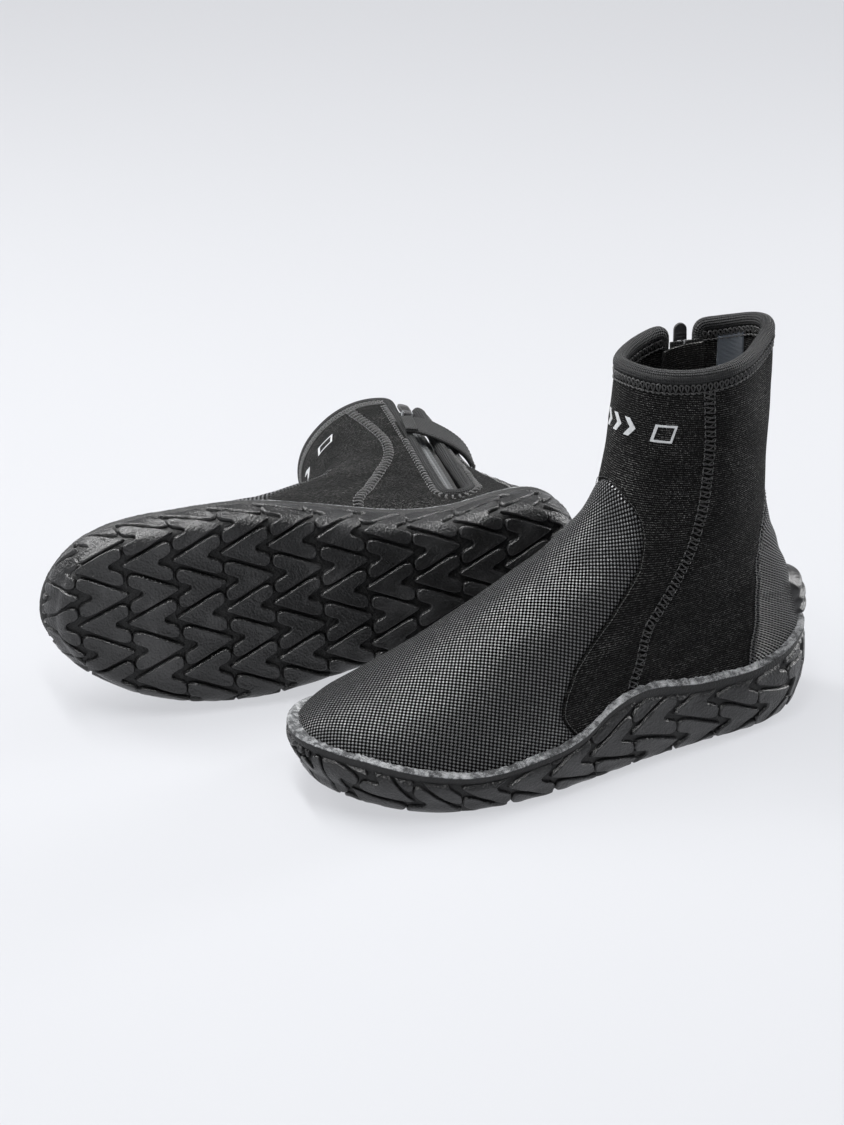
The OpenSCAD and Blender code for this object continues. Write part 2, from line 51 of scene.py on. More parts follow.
FM = [0, .43, .76, .94, .995, .985, .86, .72, .66, .665, .575, .35, 0]
FA = list(np.arange(-1, 14) * 15.0)
FLM = [-FL[1]] + FL + [-FL[11]]
FMM = [-FM[1]] + FM + [-FM[11]]
_tab = {}


def sstep(t):
    t = np.clip(t, 0, 1)
    return t * t * (3 - 2 * t)


def cr(x, xs, ys):
    key = (id(xs), id(ys))
    if key not in _tab:
        X, Y = np.asarray(xs, float), np.asarray(ys, float)
        m = np.empty(len(X))
        m[1:-1] = (Y[2:] - Y[:-2]) / (X[2:] - X[:-2])
        m[0] = (Y[1] - Y[0]) / (X[1] - X[0])
        m[-1] = (Y[-1] - Y[-2]) / (X[-1] - X[-2])
        _tab[key] = (X, Y, m)
    X, Y, m = _tab[key]
    x = np.clip(np.asarray(x, float), X[0], X[-1])
    i = np.clip(np.searchsorted(X, x, side="right") - 1, 0, len(X) - 2)
    h = X[i + 1] - X[i]
    t = (x - X[i]) / h
    t2 = t * t
    t3 = t2 * t
    return ((2 * t3 - 3 * t2 + 1) * Y[i] + (t3 - 2 * t2 + t) * h * m[i]
            + (3 * t2 - 2 * t3) * Y[i + 1] + (t3 - t2) * h * m[i + 1])


def lin(x, xs, ys):
    return np.interp(x, xs, ys)


def lift(y, z):
    return (TOE * np.clip((y - 215) / 75, 0, 1.12) ** 2 * np.clip(1 - z / 110, 0, 1)
            + HEEL * np.clip((45 - y) / 45, 0, 1.2) ** 2 * np.clip(1 - z / 25, 0, 1))


def wrap(f):
    f = np.asarray(f, float)
    return np.where(f < -180, f + 360, np.where(f > 180, f - 360, f))


def spread(s, z):
    return 1 + (-0.05 if s > 0 else 0.05) * sstep((np.asarray(z, float) - 60) / 150)


def rise(f, z):
    """The mouth stands higher behind and is cut a little lower at the front of the inner side."""
    g = lambda c, w: np.exp(-(wrap(f - c) / w) ** 2)
    return sstep((z - 140) / 65) * (10.5 * g(188, 44) - 6.0 * g(42, 42) + 2.5 * g(-105, 26) - 1.5 * g(-35, 30))


def P(s, f0, z):
    f, z = np.broadcast_arrays(wrap(f0), np.asarray(z, float))
    a = np.abs(f)
    yb, yf, k, q, t = cr(z, ZK, YB), cr(z, ZK, YF), cr(z, ZK, KF), spread(s, z), sstep((z - 60) / 150)
    b = np.where(f >= 0, cr(z, ZK, BM), cr(z, ZK, BL))
    c = np.where(f >= 0, 1 - 0.17 * np.exp(-((a - 118) / 23) ** 2) * (1 - sstep((z - 22) / 26)), 1 - (0.1 * t + 0.14 * sstep((z - 160) / 48)) * np.exp(-((a - 138) / 27) ** 2) + 0.03 * t * np.exp(-((a - 75) / 30) ** 2))
    w = b * q * c * (k * np.where(f >= 0, cr(a, FA, FMM), cr(a, FA, FLM)) + (1 - k) * np.sin(np.radians(a)))
    y = (yb + yf) / 2 + (yf - yb) / 2 * q * np.cos(np.radians(a))
    return np.stack([np.where(f >= 0, w, -w), y, z + lift(y, z) + rise(f, z)], -1)


def nrm(s, f, z):
    f, z = np.broadcast_arrays(np.asarray(f, float), np.asarray(z, float))
    u = P(s, f + .5, z) - P(s, f - .5, z)
    zc = np.clip(z, .6, 224.4)
    v = P(s, f, zc + .5) - P(s, f, zc - .5)
    n = np.cross(v, u)
    return n / np.linalg.norm(n, axis=-1, keepdims=True)


def S(s, f, z, off=0.0):
    f, z = np.broadcast_arrays(np.asarray(f, float), np.asarray(z, float))
    return P(s, f, z) + nrm(s, f, z) * np.asarray(off, float)[..., None]


def f_of_y(s, y, z):
    yb, yf = cr(z, ZK, YB), cr(z, ZK, YF)
    return np.degrees(np.arccos(np.clip((y - (yb + yf) / 2) / ((yf - yb) / 2 * spread(s, z)), -1, 1)))


def f_vamp(z): return lin(z, [9, 26, 41, 63, 87, 109, 123, 132, 138, 143, 146, 147.4], [92, 86, 78.5, 70, 66, 59, 50, 41, 32, 20, 9, 0])
def f_seam_l(z): return lin(z, [9, 30, 55, 78, 108, 135, 176, 212], [104, 99, 93, 86, 83, 80, 77, 71])
def f_seam_m(z): return lin(z, [9, 30, 55, 80, 115, 150, 191, 212], [104, 101, 98, 96, 92, 85, 76, 72])
def f_heel_l(z): return lin(z, [9, 28, 50, 98, 112, 122, 129, 133, 134], [134, 132, 131, 131, 137, 147, 160, 172, 180])
def f_heel_m(z): return lin(z, [9, 60, 98, 110, 120, 128, 133, 134], [142, 144, 146, 150, 156, 165, 174, 180])


def zip_y(s, z):
    yt = P(s, 106. if s > 0 else 119., ZZ1)[..., 1]
    return 56 + (yt - 56) * (np.asarray(z, float) - ZZ0) / (ZZ1 - ZZ0)


def zip_f(s, w, z): return f_of_y(s, zip_y(s, z) + np.asarray(w) * 0.95, z)
def on_zip(s, w, z, off=0.): return S(s, zip_f(s, w, z), z, off)
def zip_C(s): return on_zip(s, 0., ZZ0)


def zip_axes(s):
    d = on_zip(s, 0., ZZ1) - zip_C(s)
    L = float(np.linalg.norm(d))
    u = d / L
    a = math.radians(-9 if s > 0 else -17)
    n0 = np.array([math.cos(a), math.sin(a), 0.])
    n = n0 - u * (n0 @ u)
    n /= np.linalg.norm(n)
    return zip_C(s), n, np.cross(u, n), u, L


def slot_d(z):
    z = np.asarray(z, float)
    return np.where(z < SLOT_C, np.maximum(3, np.sqrt(np.maximum(0, SLOT * SLOT - (SLOT_C - z) ** 2))), SLOT + 2 * (z - SLOT_C) / 154)


def Q(s, f, z, off):
    f, z = np.broadcast_arrays(np.asarray(f, float), np.asarray(z, float))
    p = S(s, f, np.maximum(z, 8), off).copy()
    p[..., 2] = z + lift(p[..., 1], z)
    return p


EA = [0, 30, 50, 62, 75, 85, 92, 99, 115, 130, 142, 155, 180]
EL = [28, 28.5, 25, 23, 25.5, 30, 41, 44, 38, 37, 40, 45, 47]
EM = [28, 28.5, 26, 24, 24, 24.5, 25, 26, 26.5, 28, 32, 39, 47]
def edge_z(f):
    f = wrap(f)
    return np.where(f >= 0, cr(np.abs(f), EA, EM), cr(np.abs(f), EA, EL))


# ---------------------------------------------------------------- place of each boot in the row frame
def Rx(d): a = math.radians(d); return np.array([[1, 0, 0], [0, math.cos(a), -math.sin(a)], [0, math.sin(a), math.cos(a)]])
def Ry(d): a = math.radians(d); return np.array([[math.cos(a), 0, math.sin(a)], [0, 1, 0], [-math.sin(a), 0, math.cos(a)]])
def Rz(d): a = math.radians(d); return np.array([[math.cos(a), -math.sin(a), 0], [math.sin(a), math.cos(a), 0], [0, 0, 1]])


ROT = {1: Rz(90), -1: Rz(-11) @ Rx(-5.7) @ Ry(-2.5) @ np.array([[0, -1, 0], [0, 0, 1], [1, 0, 0]])}
ORG = {1: np.array([185.1, -123.9, 0.]), -1: np.array([185.1 - 90.5, -123.9 + 73.5, 67.3])}
SIDE = {1: "left", -1: "right"}
def row(s, p): return (np.asarray(p, float) @ ROT[s].T + ORG[s]) / 1000


# ---------------------------------------------------------------- small deterministic noise
def wob(p, k, seed=0.0):
    """Smooth field of about unit size from sums of sines; k is the rough wave number in 1/mm."""
    x, y, z = p[..., 0] * k, p[..., 1] * k, p[..., 2] * k
    return (np.sin(x * 1.0 + 1.7 * np.sin(y * .9 + seed) + seed) * np.cos(y * 1.13 - z * .7 + 2 * seed)
            + .6 * np.sin(z * 1.7 + 1.3 * np.cos(x * 1.3 - seed) + 3 * seed)
            + .35 * np.sin(x * 2.9 + y * 2.3 + z * 2.7 + 5 * seed)) / 1.6


# ---------------------------------------------------------------- meshes
def build(name, s, verts, faces, body, mat, nodes=(), uv=None, smooth=True, sharp=35, fix=True):
    """verts in mm in the boot's frame; faces is an int array (n,4) or (n,3), or a list of such arrays."""
    faces = faces if isinstance(faces, list) else [faces]
    v = row(s, verts)
    fl = [np.asarray(f, int) for f in faces if len(f)]
    if fix:
        vol = 0.0
        for f in fl:
            for a, b in ((1, 2), (2, 3)):
                if b < f.shape[1]:
                    vol += np.einsum("ij,ij->i", v[f[:, 0]], np.cross(v[f[:, a]], v[f[:, b]])).sum()
        if vol < 0:
            fl = [f[:, ::-1] for f in fl]
    me = bpy.data.meshes.new(name)
    loops = np.concatenate([f.ravel() for f in fl])
    tot = np.concatenate([np.full(len(f), f.shape[1]) for f in fl])
    me.vertices.add(len(v)); me.vertices.foreach_set("co", v.ravel())
    me.loops.add(len(loops)); me.loops.foreach_set("vertex_index", loops)
    me.polygons.add(len(tot))
    me.polygons.foreach_set("loop_start", np.concatenate([[0], np.cumsum(tot)[:-1]]))
    me.polygons.foreach_set("loop_total", tot)
    me.update(calc_edges=True); me.validate()
    if uv is not None:
        layer = me.uv_layers.new(name="UVMap")
        li = np.zeros(len(me.loops), int); me.loops.foreach_get("vertex_index", li)
        layer.data.foreach_set("uv", (np.asarray(uv, float)[li] / 1000).ravel())
    if smooth:
        me.shade_smooth()
        if sharp: me.set_sharp_from_angle(angle=math.radians(sharp))
    ob = bpy.data.objects.new(name, me)
    sc.collection.objects.link(ob)
    me.materials.append(mat)
    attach(ob, SIDE[s] + "_" + body)
    if nodes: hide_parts(*[SIDE[s] + "_" + n for n in nodes])
    return ob


def grid_faces(nv, nu, base=0, close_u=False, close_v=False, mask=None):
    i, j = np.meshgrid(np.arange(nv if close_v else nv - 1), np.arange(nu if close_u else nu - 1), indexing="ij")
    if mask is not None:
        k = mask[i, j].astype(bool); i, j = i[k], j[k]
    i, j = i.ravel(), j.ravel()
    i2, j2 = (i + 1) % nv, (j + 1) % nu
    return np.stack([i * nu + j, i2 * nu + j, i2 * nu + j2, i * nu + j2], -1) + base


def shell(A, B, mask=None):
    """Closed skin between two grids of points; mask keeps cells."""
    nv, nu = A.shape[:2]
    m = np.ones((nv - 1, nu - 1), int) if mask is None else mask
    n = nv * nu
    fa = grid_faces(nv, nu, 0, mask=m)
    fb = grid_faces(nv, nu, n, mask=m)[:, ::-1]
    pad = np.zeros((nv + 1, nu + 1), int); pad[1:-1, 1:-1] = m
    out = [fa, fb]
    idx = lambda i, j: i * nu + j
    i, j = np.nonzero(m)
    for di, dj in ((-1, 0), (1, 0), (0, -1), (0, 1)):
        k = pad[i + 1 + di, j + 1 + dj] == 0
        a, b = i[k], j[k]
        if di == -1: p, q = idx(a, b), idx(a, b + 1)
        elif di == 1: p, q = idx(a + 1, b + 1), idx(a + 1, b)
        elif dj == -1: p, q = idx(a + 1, b), idx(a, b)
        else: p, q = idx(a, b + 1), idx(a + 1, b + 1)
        out.append(np.stack([p, q, q + n, p + n], -1))
    v = np.concatenate([A.reshape(-1, 3), B.reshape(-1, 3)])
    f = np.concatenate(out)
    used, inv = np.unique(f, return_inverse=True)
    return v[used], inv.reshape(f.shape), used


def sweep(C, N, w, h, m=16, closed=False, pw=0.0):
    """Rounded profile w wide and h high along points C with outward directions N; w and h may vary."""
    C, N = np.asarray(C, float), np.asarray(N, float)
    n = len(C)
    w, h = np.broadcast_to(w, (n,)), np.broadcast_to(h, (n,))
    t = (np.roll(C, -1, 0) - np.roll(C, 1, 0)) if closed else np.gradient(C, axis=0)
    t /= np.linalg.norm(t, axis=1, keepdims=True)
    nn = N - t * np.sum(N * t, 1, keepdims=True)
    nn /= np.linalg.norm(nn, axis=1, keepdims=True)
    b = np.cross(t, nn)
    a = np.arange(m) / m * 2 * np.pi
    ca, sa = np.cos(a), np.sin(a)
    e = (np.abs(ca) ** (2 + pw) + np.abs(sa) ** (2 + pw)) ** (-1 / (2 + pw))
    V = C[:, None] + nn[:, None] * (h[:, None] / 2 * (e * ca)[None])[..., None] + b[:, None] * (w[:, None] / 2 * (e * sa)[None])[..., None]
    f = [grid_faces(n, m, 0, close_u=True, close_v=closed)]
    V = V.reshape(-1, 3)
    if not closed:
        V = np.concatenate([V, C[:1], C[-1:]])
        k = np.arange(m)
        f.append(np.stack([k, (k + 1) % m, np.full(m, n * m)], -1))
        f.append(np.stack([(n - 1) * m + (k + 1) % m, (n - 1) * m + k, np.full(m, n * m + 1)], -1))
    L = np.concatenate([[0], np.cumsum(np.linalg.norm(np.diff(C, axis=0), axis=1))])
    uv = np.stack([np.repeat(L, m), np.tile(np.arange(m) / m * np.pi * (np.mean(w) + np.mean(h)) / 2, n)], -1)
    if not closed: uv = np.concatenate([uv, uv[:1], uv[-1:]])
    return V, f, uv


def tubes(C, N, r, m=6):
    """Many short thread pieces: C is (K, n, 3), N (K, n, 3) the surface normals."""
    K, n = C.shape[:2]
    t = np.gradient(C, axis=1)
    t /= np.linalg.norm(t, axis=-1, keepdims=True) + 1e-9
    b = np.cross(t, N); b /= np.linalg.norm(b, axis=-1, keepdims=True) + 1e-9
    nn = np.cross(b, t)
    a = np.arange(m) / m * 2 * np.pi
    rr = np.asarray(r) * np.ones((K, n))
    rr = rr.copy(); rr[:, 0] *= .45; rr[:, -1] *= .45
    V = C[:, :, None] + (nn[:, :, None] * np.cos(a)[None, None, :, None] + b[:, :, None] * np.sin(a)[None, None, :, None]) * rr[:, :, None, None]
    one = grid_faces(n, m, 0, close_u=True)
    k = np.arange(m)
    caps = np.concatenate([k[None], ((n - 1) * m + k)[None, ::-1]])
    q = (one[None] + (np.arange(K) * n * m)[:, None, None]).reshape(-1, 4)
    c = (caps[None] + (np.arange(K) * n * m)[:, None, None]).reshape(-1, m)
    L = np.cumsum(np.concatenate([np.zeros((K, 1)), np.linalg.norm(np.diff(C, axis=1), axis=-1)], 1), 1)
    uv = np.stack([np.broadcast_to(L[..., None], (K, n, m)), np.broadcast_to(a[None, None] * .35, (K, n, m))], -1).reshape(-1, 2)
    return V.reshape(-1, 3), [q, c], uv


def resample(p, pitch):
    L = np.concatenate([[0], np.cumsum(np.linalg.norm(np.diff(p, axis=0), axis=1))])
    n = max(2, int(round(L[-1] / pitch)))
    x = (np.arange(n) + .5) / n * L[-1]
    return x, L


def along(arrs, L, x):
    return [np.stack([np.interp(x, L, a[:, k]) for k in range(a.shape[1])], -1) for a in arrs]


def join(parts):
    V, F, U, n = [], [], [], 0
    for v, f, u in parts:
        V.append(v); U.append(u)
        F += [np.asarray(q) + n for q in f]
        n += len(v)
    by = {}
    for q in F: by.setdefault(q.shape[1], []).append(q)
    return np.concatenate(V), [np.concatenate(q) for q in by.values()], np.concatenate(U)



# ---------------------------------------------------------------- materials
class Mat:
    def __init__(self, name):
        self.m = bpy.data.materials.new(name); self.m.use_nodes = True
        self.t = self.m.node_tree; self.t.nodes.clear()
        self.out = self.t.nodes.new("ShaderNodeOutputMaterial")
        self.b = self.t.nodes.new("ShaderNodeBsdfPrincipled")
        self.t.links.new(self.b.outputs[0], self.out.inputs[0])

    def put(self, sock, v):
        if isinstance(v, bpy.types.NodeSocket): self.t.links.new(v, sock)
        elif v is not None:
            try: sock.default_value = v
            except Exception: sock.default_value = tuple(list(v) + [1.0])

    def n(self, kind, *ins, out=0, **kw):
        nd = self.t.nodes.new("ShaderNode" + kind)
        named = {}
        for k, v in kw.items():
            if hasattr(nd, k): setattr(nd, k, v)
            else: named[k] = v
        for i, v in enumerate(ins): self.put(nd.inputs[i], v)
        for k, v in named.items(): self.put(nd.inputs[k.replace("_", " ")], v)
        return nd.outputs[out]

    def math(self, op, a, b=0.0, c=None):
        nd = self.t.nodes.new("ShaderNodeMath"); nd.operation = op
        self.put(nd.inputs[0], a); self.put(nd.inputs[1], b)
        if c is not None: self.put(nd.inputs[2], c)
        return nd.outputs[0]

    def uv(self):
        s = self.n("UVMap"); x = self.t.nodes.new("ShaderNodeSeparateXYZ"); self.put(x.inputs[0], s)
        return s, x.outputs[0], x.outputs[1]

    def obj(self):
        return self.t.nodes.new("ShaderNodeTexCoord").outputs["Object"]

    def scaled(self, vec, k):
        nd = self.t.nodes.new("ShaderNodeVectorMath"); nd.operation = "MULTIPLY"
        self.put(nd.inputs[0], vec); nd.inputs[1].default_value = k
        return nd.outputs[0]

    def noise(self, vec, scale=1.0, detail=3.0, rough=.55, dist=0.0):
        nd = self.t.nodes.new("ShaderNodeTexNoise"); self.put(nd.inputs["Vector"], vec)
        nd.inputs["Scale"].default_value = scale; nd.inputs["Detail"].default_value = detail
        nd.inputs["Roughness"].default_value = rough; nd.inputs["Distortion"].default_value = dist
        return nd.outputs[0]

    def voro(self, vec, scale, feature="SMOOTH_F1"):
        nd = self.t.nodes.new("ShaderNodeTexVoronoi"); nd.feature = feature
        self.put(nd.inputs["Vector"], vec); nd.inputs["Scale"].default_value = scale
        return nd.outputs["Distance"]

    def ramp(self, fac, stops):
        nd = self.t.nodes.new("ShaderNodeValToRGB"); self.put(nd.inputs[0], fac)
        el = nd.color_ramp.elements
        while len(el) < len(stops): el.new(.5)
        for e, (p, c) in zip(el, stops):
            e.position = p; e.color = (c[0], c[1], c[2], 1) if hasattr(c, "__len__") else (c, c, c, 1)
        return nd.outputs[0]

    def rng(self, v, a, b, c, d, smooth=False):
        nd = self.t.nodes.new("ShaderNodeMapRange")
        if smooth: nd.interpolation_type = "SMOOTHSTEP"
        for k, x in zip(range(5), (v, a, b, c, d)): self.put(nd.inputs[k], x)
        return nd.outputs[0]

    def bump(self, h, dist, prev=None, strength=1.0):
        nd = self.t.nodes.new("ShaderNodeBump")
        nd.inputs["Strength"].default_value = strength; nd.inputs["Distance"].default_value = dist
        self.put(nd.inputs["Height"], h)
        if prev is not None: self.put(nd.inputs["Normal"], prev)
        return nd.outputs[0]

    def set(self, **kw):
        for k, v in kw.items(): self.put(self.b.inputs[k.replace("_", " ")], v)
        return self.m


def wave(M, x, period, phase=None):
    a = M.math("MULTIPLY", x, 2 * math.pi / period)
    if phase is not None: a = M.math("ADD", a, phase)
    return M.math("SINE", a)


def jersey(name, lo=.0028, hi=.19, warm=1.0):
    M = Mat(name); uv, u, v = M.uv()
    big = M.noise(M.scaled(uv, (45, 45, 45)), 1, 2)
    streak = M.noise(M.scaled(uv, (420, 1250, 1)), 1, 3, .65)
    fine = M.noise(M.scaled(uv, (1500, 1900, 1)), 1, 2, .6)
    ln = wave(M, v, .00118, M.math("MULTIPLY", streak, 5.5))
    col = wave(M, u, .00095, M.math("MULTIPLY", fine, 3.0))
    h = M.math("ADD", M.math("MULTIPLY", ln, .32), M.math("MULTIPLY", col, .12))
    h = M.math("ADD", h, M.math("MULTIPLY", fine, .9))
    fleck = M.rng(M.math("ADD", M.math("MULTIPLY", h, .55), M.math("MULTIPLY", M.noise(M.scaled(uv, (760, 1100, 1)), 1, 2, .7), .95)), .66, 1.12, 0, 1, True)
    fleck = M.math("MULTIPLY", fleck, M.rng(big, .3, .7, .6, 1.0))
    c = M.ramp(fleck, [(0, (lo, lo, lo * 1.02)), (.32, (lo * 2.4, lo * 2.4, lo * 2.35)), (.66, (hi * .26, hi * .26, hi * .25)), (1, (hi * warm, hi * .99, hi * .95))])
    return M.set(Base_Color=c, Roughness=.82, Specular_IOR_Level=M.rng(fleck, 0, 1, .05, .45), Sheen_Weight=.02, Sheen_Roughness=.4,
                 Sheen_Tint=(.8, .8, .8, 1), Normal=M.bump(h, .0005))


def dotted(name):
    M = Mat(name); uv, u, v = M.uv()
    p = .00262
    drift = M.noise(M.scaled(uv, (60, 60, 1)), 1, 2)
    ph = M.math("MULTIPLY", M.math("SUBTRACT", drift, .5), 1.2)
    d = M.math("MULTIPLY", wave(M, u, p, ph), wave(M, v, p * .96, ph))
    dot = M.rng(d, -.22, .6, 0, 1, True)
    fine = M.noise(M.scaled(uv, (2600, 2600, 1)), 1, 2)
    h = M.math("ADD", M.math("MULTIPLY", dot, 1.0), M.math("MULTIPLY", fine, .16))
    big = M.noise(M.scaled(uv, (26, 26, 1)), 1, 3)
    c = M.ramp(dot, [(0, (.0025, .0025, .0027)), (.5, (.008, .0082, .0085)), (1, (.078, .08, .083))])
    r = M.math("ADD", M.rng(dot, 0, 1, .75, .28), M.rng(big, .3, .7, -.04, .05))
    return M.set(Base_Color=c, Roughness=r, Specular_IOR_Level=M.rng(dot, 0, 1, .05, 1.0), Normal=M.bump(h, .0007))


def rubber(name, base=.0065, rough=.27, grain=1.0, marks=False):
    M = Mat(name); o = M.obj()
    cell = M.voro(o, 820)
    fine = M.noise(o, 2100, 2, .6)
    big = M.noise(o, 38, 3, .6)
    h = M.math("ADD", M.math("MULTIPLY", cell, 1.0), M.math("MULTIPLY", fine, .55))
    dust = M.rng(M.math("ADD", big, M.math("MULTIPLY", fine, .5)), .55, 1.0, 0, 1, True)
    c = M.ramp(dust, [(0, (base * .7, base * .7, base * .72)), (.6, (base * 1.3, base * 1.3, base * 1.35)), (1, (base * 4.6, base * 4.6, base * 4.7))])
    r = M.math("ADD", M.rng(big, .25, .75, rough - .05, rough + .08), M.math("MULTIPLY", fine, .06))
    return M.set(Base_Color=c, Roughness=r, Specular_IOR_Level=.62, Normal=M.bump(h, .0004 * grain))


def bond(name):
    M = Mat(name); o = M.obj()
    a = M.noise(o, 260, 4, .7); f = M.noise(o, 1500, 3, .7); g = M.noise(o, 60, 3, .6)
    k = M.math("ADD", M.math("MULTIPLY", a, .55), M.math("ADD", M.math("MULTIPLY", f, .3), M.math("MULTIPLY", g, .35)))
    c = M.ramp(k, [(.47, (.012, .012, .013)), (.56, (.06, .062, .065)), (.64, (.22, .225, .23)), (.82, (.42, .425, .43))])
    return M.set(Base_Color=c, Roughness=.7, Specular_IOR_Level=.35, Normal=M.bump(M.math("ADD", a, f), .0004))


def cloth(name, lo, hi, pitch=.0008, bumpd=.0002, rough=.75, sheen=.2, tint=(1, 1, 1), spec=.35):
    M = Mat(name); uv, u, v = M.uv()
    n = M.noise(M.scaled(uv, (900, 900, 1)), 1, 3, .6)
    g = M.noise(M.scaled(uv, (70, 70, 1)), 1, 3, .6)
    w = M.math("ADD", wave(M, u, pitch), wave(M, v, pitch * 1.15, M.math("MULTIPLY", n, 2)))
    k = M.math("ADD", M.rng(w, -2, 2, 0, .55), M.math("ADD", M.math("MULTIPLY", n, .3), M.math("MULTIPLY", g, .25)))
    c = M.ramp(k, [(.25, tuple(lo * t for t in tint)), (.95, tuple(hi * t for t in tint))])
    return M.set(Base_Color=c, Roughness=rough, Specular_IOR_Level=spec, Sheen_Weight=sheen, Sheen_Roughness=.4,
                 Normal=M.bump(M.math("ADD", w, M.math("MULTIPLY", n, 1.2)), bumpd))


def thread(name, lo=.05, hi=.17, pitch=.0009):
    M = Mat(name); uv, u, v = M.uv()
    tw = wave(M, M.math("ADD", u, M.math("MULTIPLY", v, 1.6)), pitch)
    n = M.noise(M.obj(), 500, 2)
    k = M.math("ADD", M.rng(tw, -1, 1, 0, .6), M.math("MULTIPLY", n, .5))
    c = M.ramp(k, [(.15, lo), (.9, hi)])
    return M.set(Base_Color=c, Roughness=.5, Specular_IOR_Level=.5, Sheen_Weight=.15, Normal=M.bump(tw, .0001))


def plastic(name, base, rough=.4, metal=0.0, grain=300, wear=.5):
    M = Mat(name); o = M.obj()
    n = M.noise(o, grain, 4, .65); f = M.noise(o, grain * 6, 2)
    c = M.ramp(n, [(.3, tuple(x * .8 for x in base)), (.62, base), (.8, tuple(min(1, x * (1 + wear)) for x in base))])
    return M.set(Base_Color=c, Roughness=M.rng(n, .3, .7, rough - .06, rough + .1), Metallic=metal, Normal=M.bump(f, .00005))


MAT = {
    "jersey": jersey("neoprene_jersey"),
    "lining": jersey("lining_jersey", .005, .2, 1.05),
    "dots": dotted("dotted_abrasion_fabric"),
    "rubber": rubber("outsole_rubber"),
    # the same outsole rubber as a darker, rougher copy for the sole's body between and around the lugs: painted shade
    # in the grooves
    "rubber_painted_shade": rubber("outsole_rubber_grooves_painted_shade", .0022, .6),
    "stop": rubber("strap_stop_rubber", .011, .36, .5),
    "bond": bond("bond_line"),
    "binding": cloth("binding_fabric", .0035, .032, .0011, .0003, .6, .05, (.97, .99, 1.03), .25),
    "tape": cloth("zip_tape", .003, .011, .0009, .0002, .8, .15),
    "strap": cloth("strap_webbing", .004, .026, .001, .00025, .5, .05, (.98, 1, 1.03), .3),
    "hook": cloth("hook_tape", .006, .02, .0012, .0005, .8, .1),
    "loop": cloth("loop_tape", .006, .024, .0016, .0006, .95, .4),
    "label": cloth("label_cloth", .05, .115, .0006, .0001, .7, .2, (.82, .95, 1.15)),
    "board": cloth("board_felt", .02, .045, .0011, .0002, .9, .1),
    "foam": cloth("footbed_cloth", .01, .04, .0012, .0002, .9, .3),
    "thread": thread("seam_thread", .004, .05),
    # a lighter copy of the same seam thread, used on the right boot only: painted highlight on its stitches
    "thread_r": thread("seam_thread_painted_highlight", .014, .17),
    "thread_dark": thread("seam_thread_dark", .006, .035),
    "thread_light": thread("seam_thread_light", .05, .3),
    "teeth": plastic("zip_teeth_plastic", (.2, .205, .21), .36),
    "metal": plastic("slider_metal", (.46, .47, .48), .3, .85, 420, .3),
    "pull": rubber("pull_rubber", .014, .5, .4),
    "mark": plastic("printed_mark", (.46, .47, .48), .5, 0, 700, .2),
}

# ---------------------------------------------------------------- the upper's surface with its soft relief
def relief(s, f, z):
    """Soft unevenness of the stretched neoprene, in mm along the outward direction."""
    f, z = np.broadcast_arrays(np.asarray(f, float), np.asarray(z, float))
    p = P(s, f, z)
    r = .28 * wob(p, .045, 1.3 + s) + .16 * wob(p, .12, 4.1 - s)
    # soft creases across the instep and behind the ankle
    a = np.radians(wrap(f))
    ins = np.exp(-((z - 106) / 26) ** 2) * (0.5 + 0.5 * np.cos(a))
    back = np.exp(-((z - 88) / 22) ** 2) * (0.5 - 0.5 * np.cos(a)) ** 2
    r = r - .38 * ins * np.sin((z - 100) * .30 + 1.2 * np.sin(a * 1.5)) - .45 * back * np.sin((z - 88) * .33 + .8 * np.cos(a * 2))
    # the top of the shaft is drawn in a little under its binding
    r = r - .5 * np.exp(-((z - 205) / 3.5) ** 2)
    return r * sstep((z - 22) / 20)


def SR(s, f, z, off=0.0): return S(s, f, z, np.asarray(off, float) + relief(s, f, z))


def seam_points(s):
    out = []
    def add(fz, za, zb, n=260):
        z = np.linspace(za, zb, n); out.append(SR(s, fz(z), z))
    add(lambda z: f_vamp(z), 9.4, 147.4, 500); add(lambda z: -f_vamp(z), 9.4, 147.4, 500)
    add(lambda z: -f_seam_l(z), 9.4, 208); add(f_seam_m, 9.4, 208)
    add(lambda z: 360 - f_heel_l(z), 9.4, 134, 400); add(f_heel_m, 9.4, 134, 400)
    add(lambda z: 180 + 0 * z, 134, 208)
    return np.concatenate(out)


def near(p, q, cap=9.0):
    """Distance from each p to the closest q, in chunks."""
    sh = p.shape[:-1]; p = p.reshape(-1, 3).astype(np.float32); q = q.astype(np.float32)
    out = np.empty(len(p), np.float32); qq = (q * q).sum(1)
    for i in range(0, len(p), 3000):
        d = (p[i:i + 3000] ** 2).sum(1)[:, None] - 2 * p[i:i + 3000] @ q.T + qq[None]
        out[i:i + 3000] = np.sqrt(np.maximum(d.min(1), 0))
    return out.reshape(sh)


def cluster(n, W, ea, eb):
    A = np.array([0, .35, .8, 1.4, 2.3, 3.6]) if ea else np.array([0.])
    B = np.array([0, .35, .8, 1.4, 2.3, 3.6]) if eb else np.array([0.])
    k = min(1.0, W / 14.0)
    m = n - len(A) - len(B)
    return np.concatenate([A * k, np.linspace(A[-1] * k, W - B[-1] * k, m + 2)[1:-1], (W - B * k)[::-1]])


def cols(s, z, segs):
    """Angles of one row: segs is a list of (fa, fb, n, edge at a, edge at b)."""
    out = []
    for q, (fa, fb, n, ea, eb) in enumerate(segs):
        f = np.linspace(fa, fb, 40)
        p = P(s, f, z)
        L = np.concatenate([[0], np.cumsum(np.linalg.norm(np.diff(p, axis=0), axis=1))])
        if L[-1] < 1e-6: r = np.linspace(fa, fb, n)
        else: r = np.interp(cluster(n, L[-1], ea, eb), L, f)
        out.append(r if q == 0 else r[1:])
    return np.concatenate(out)


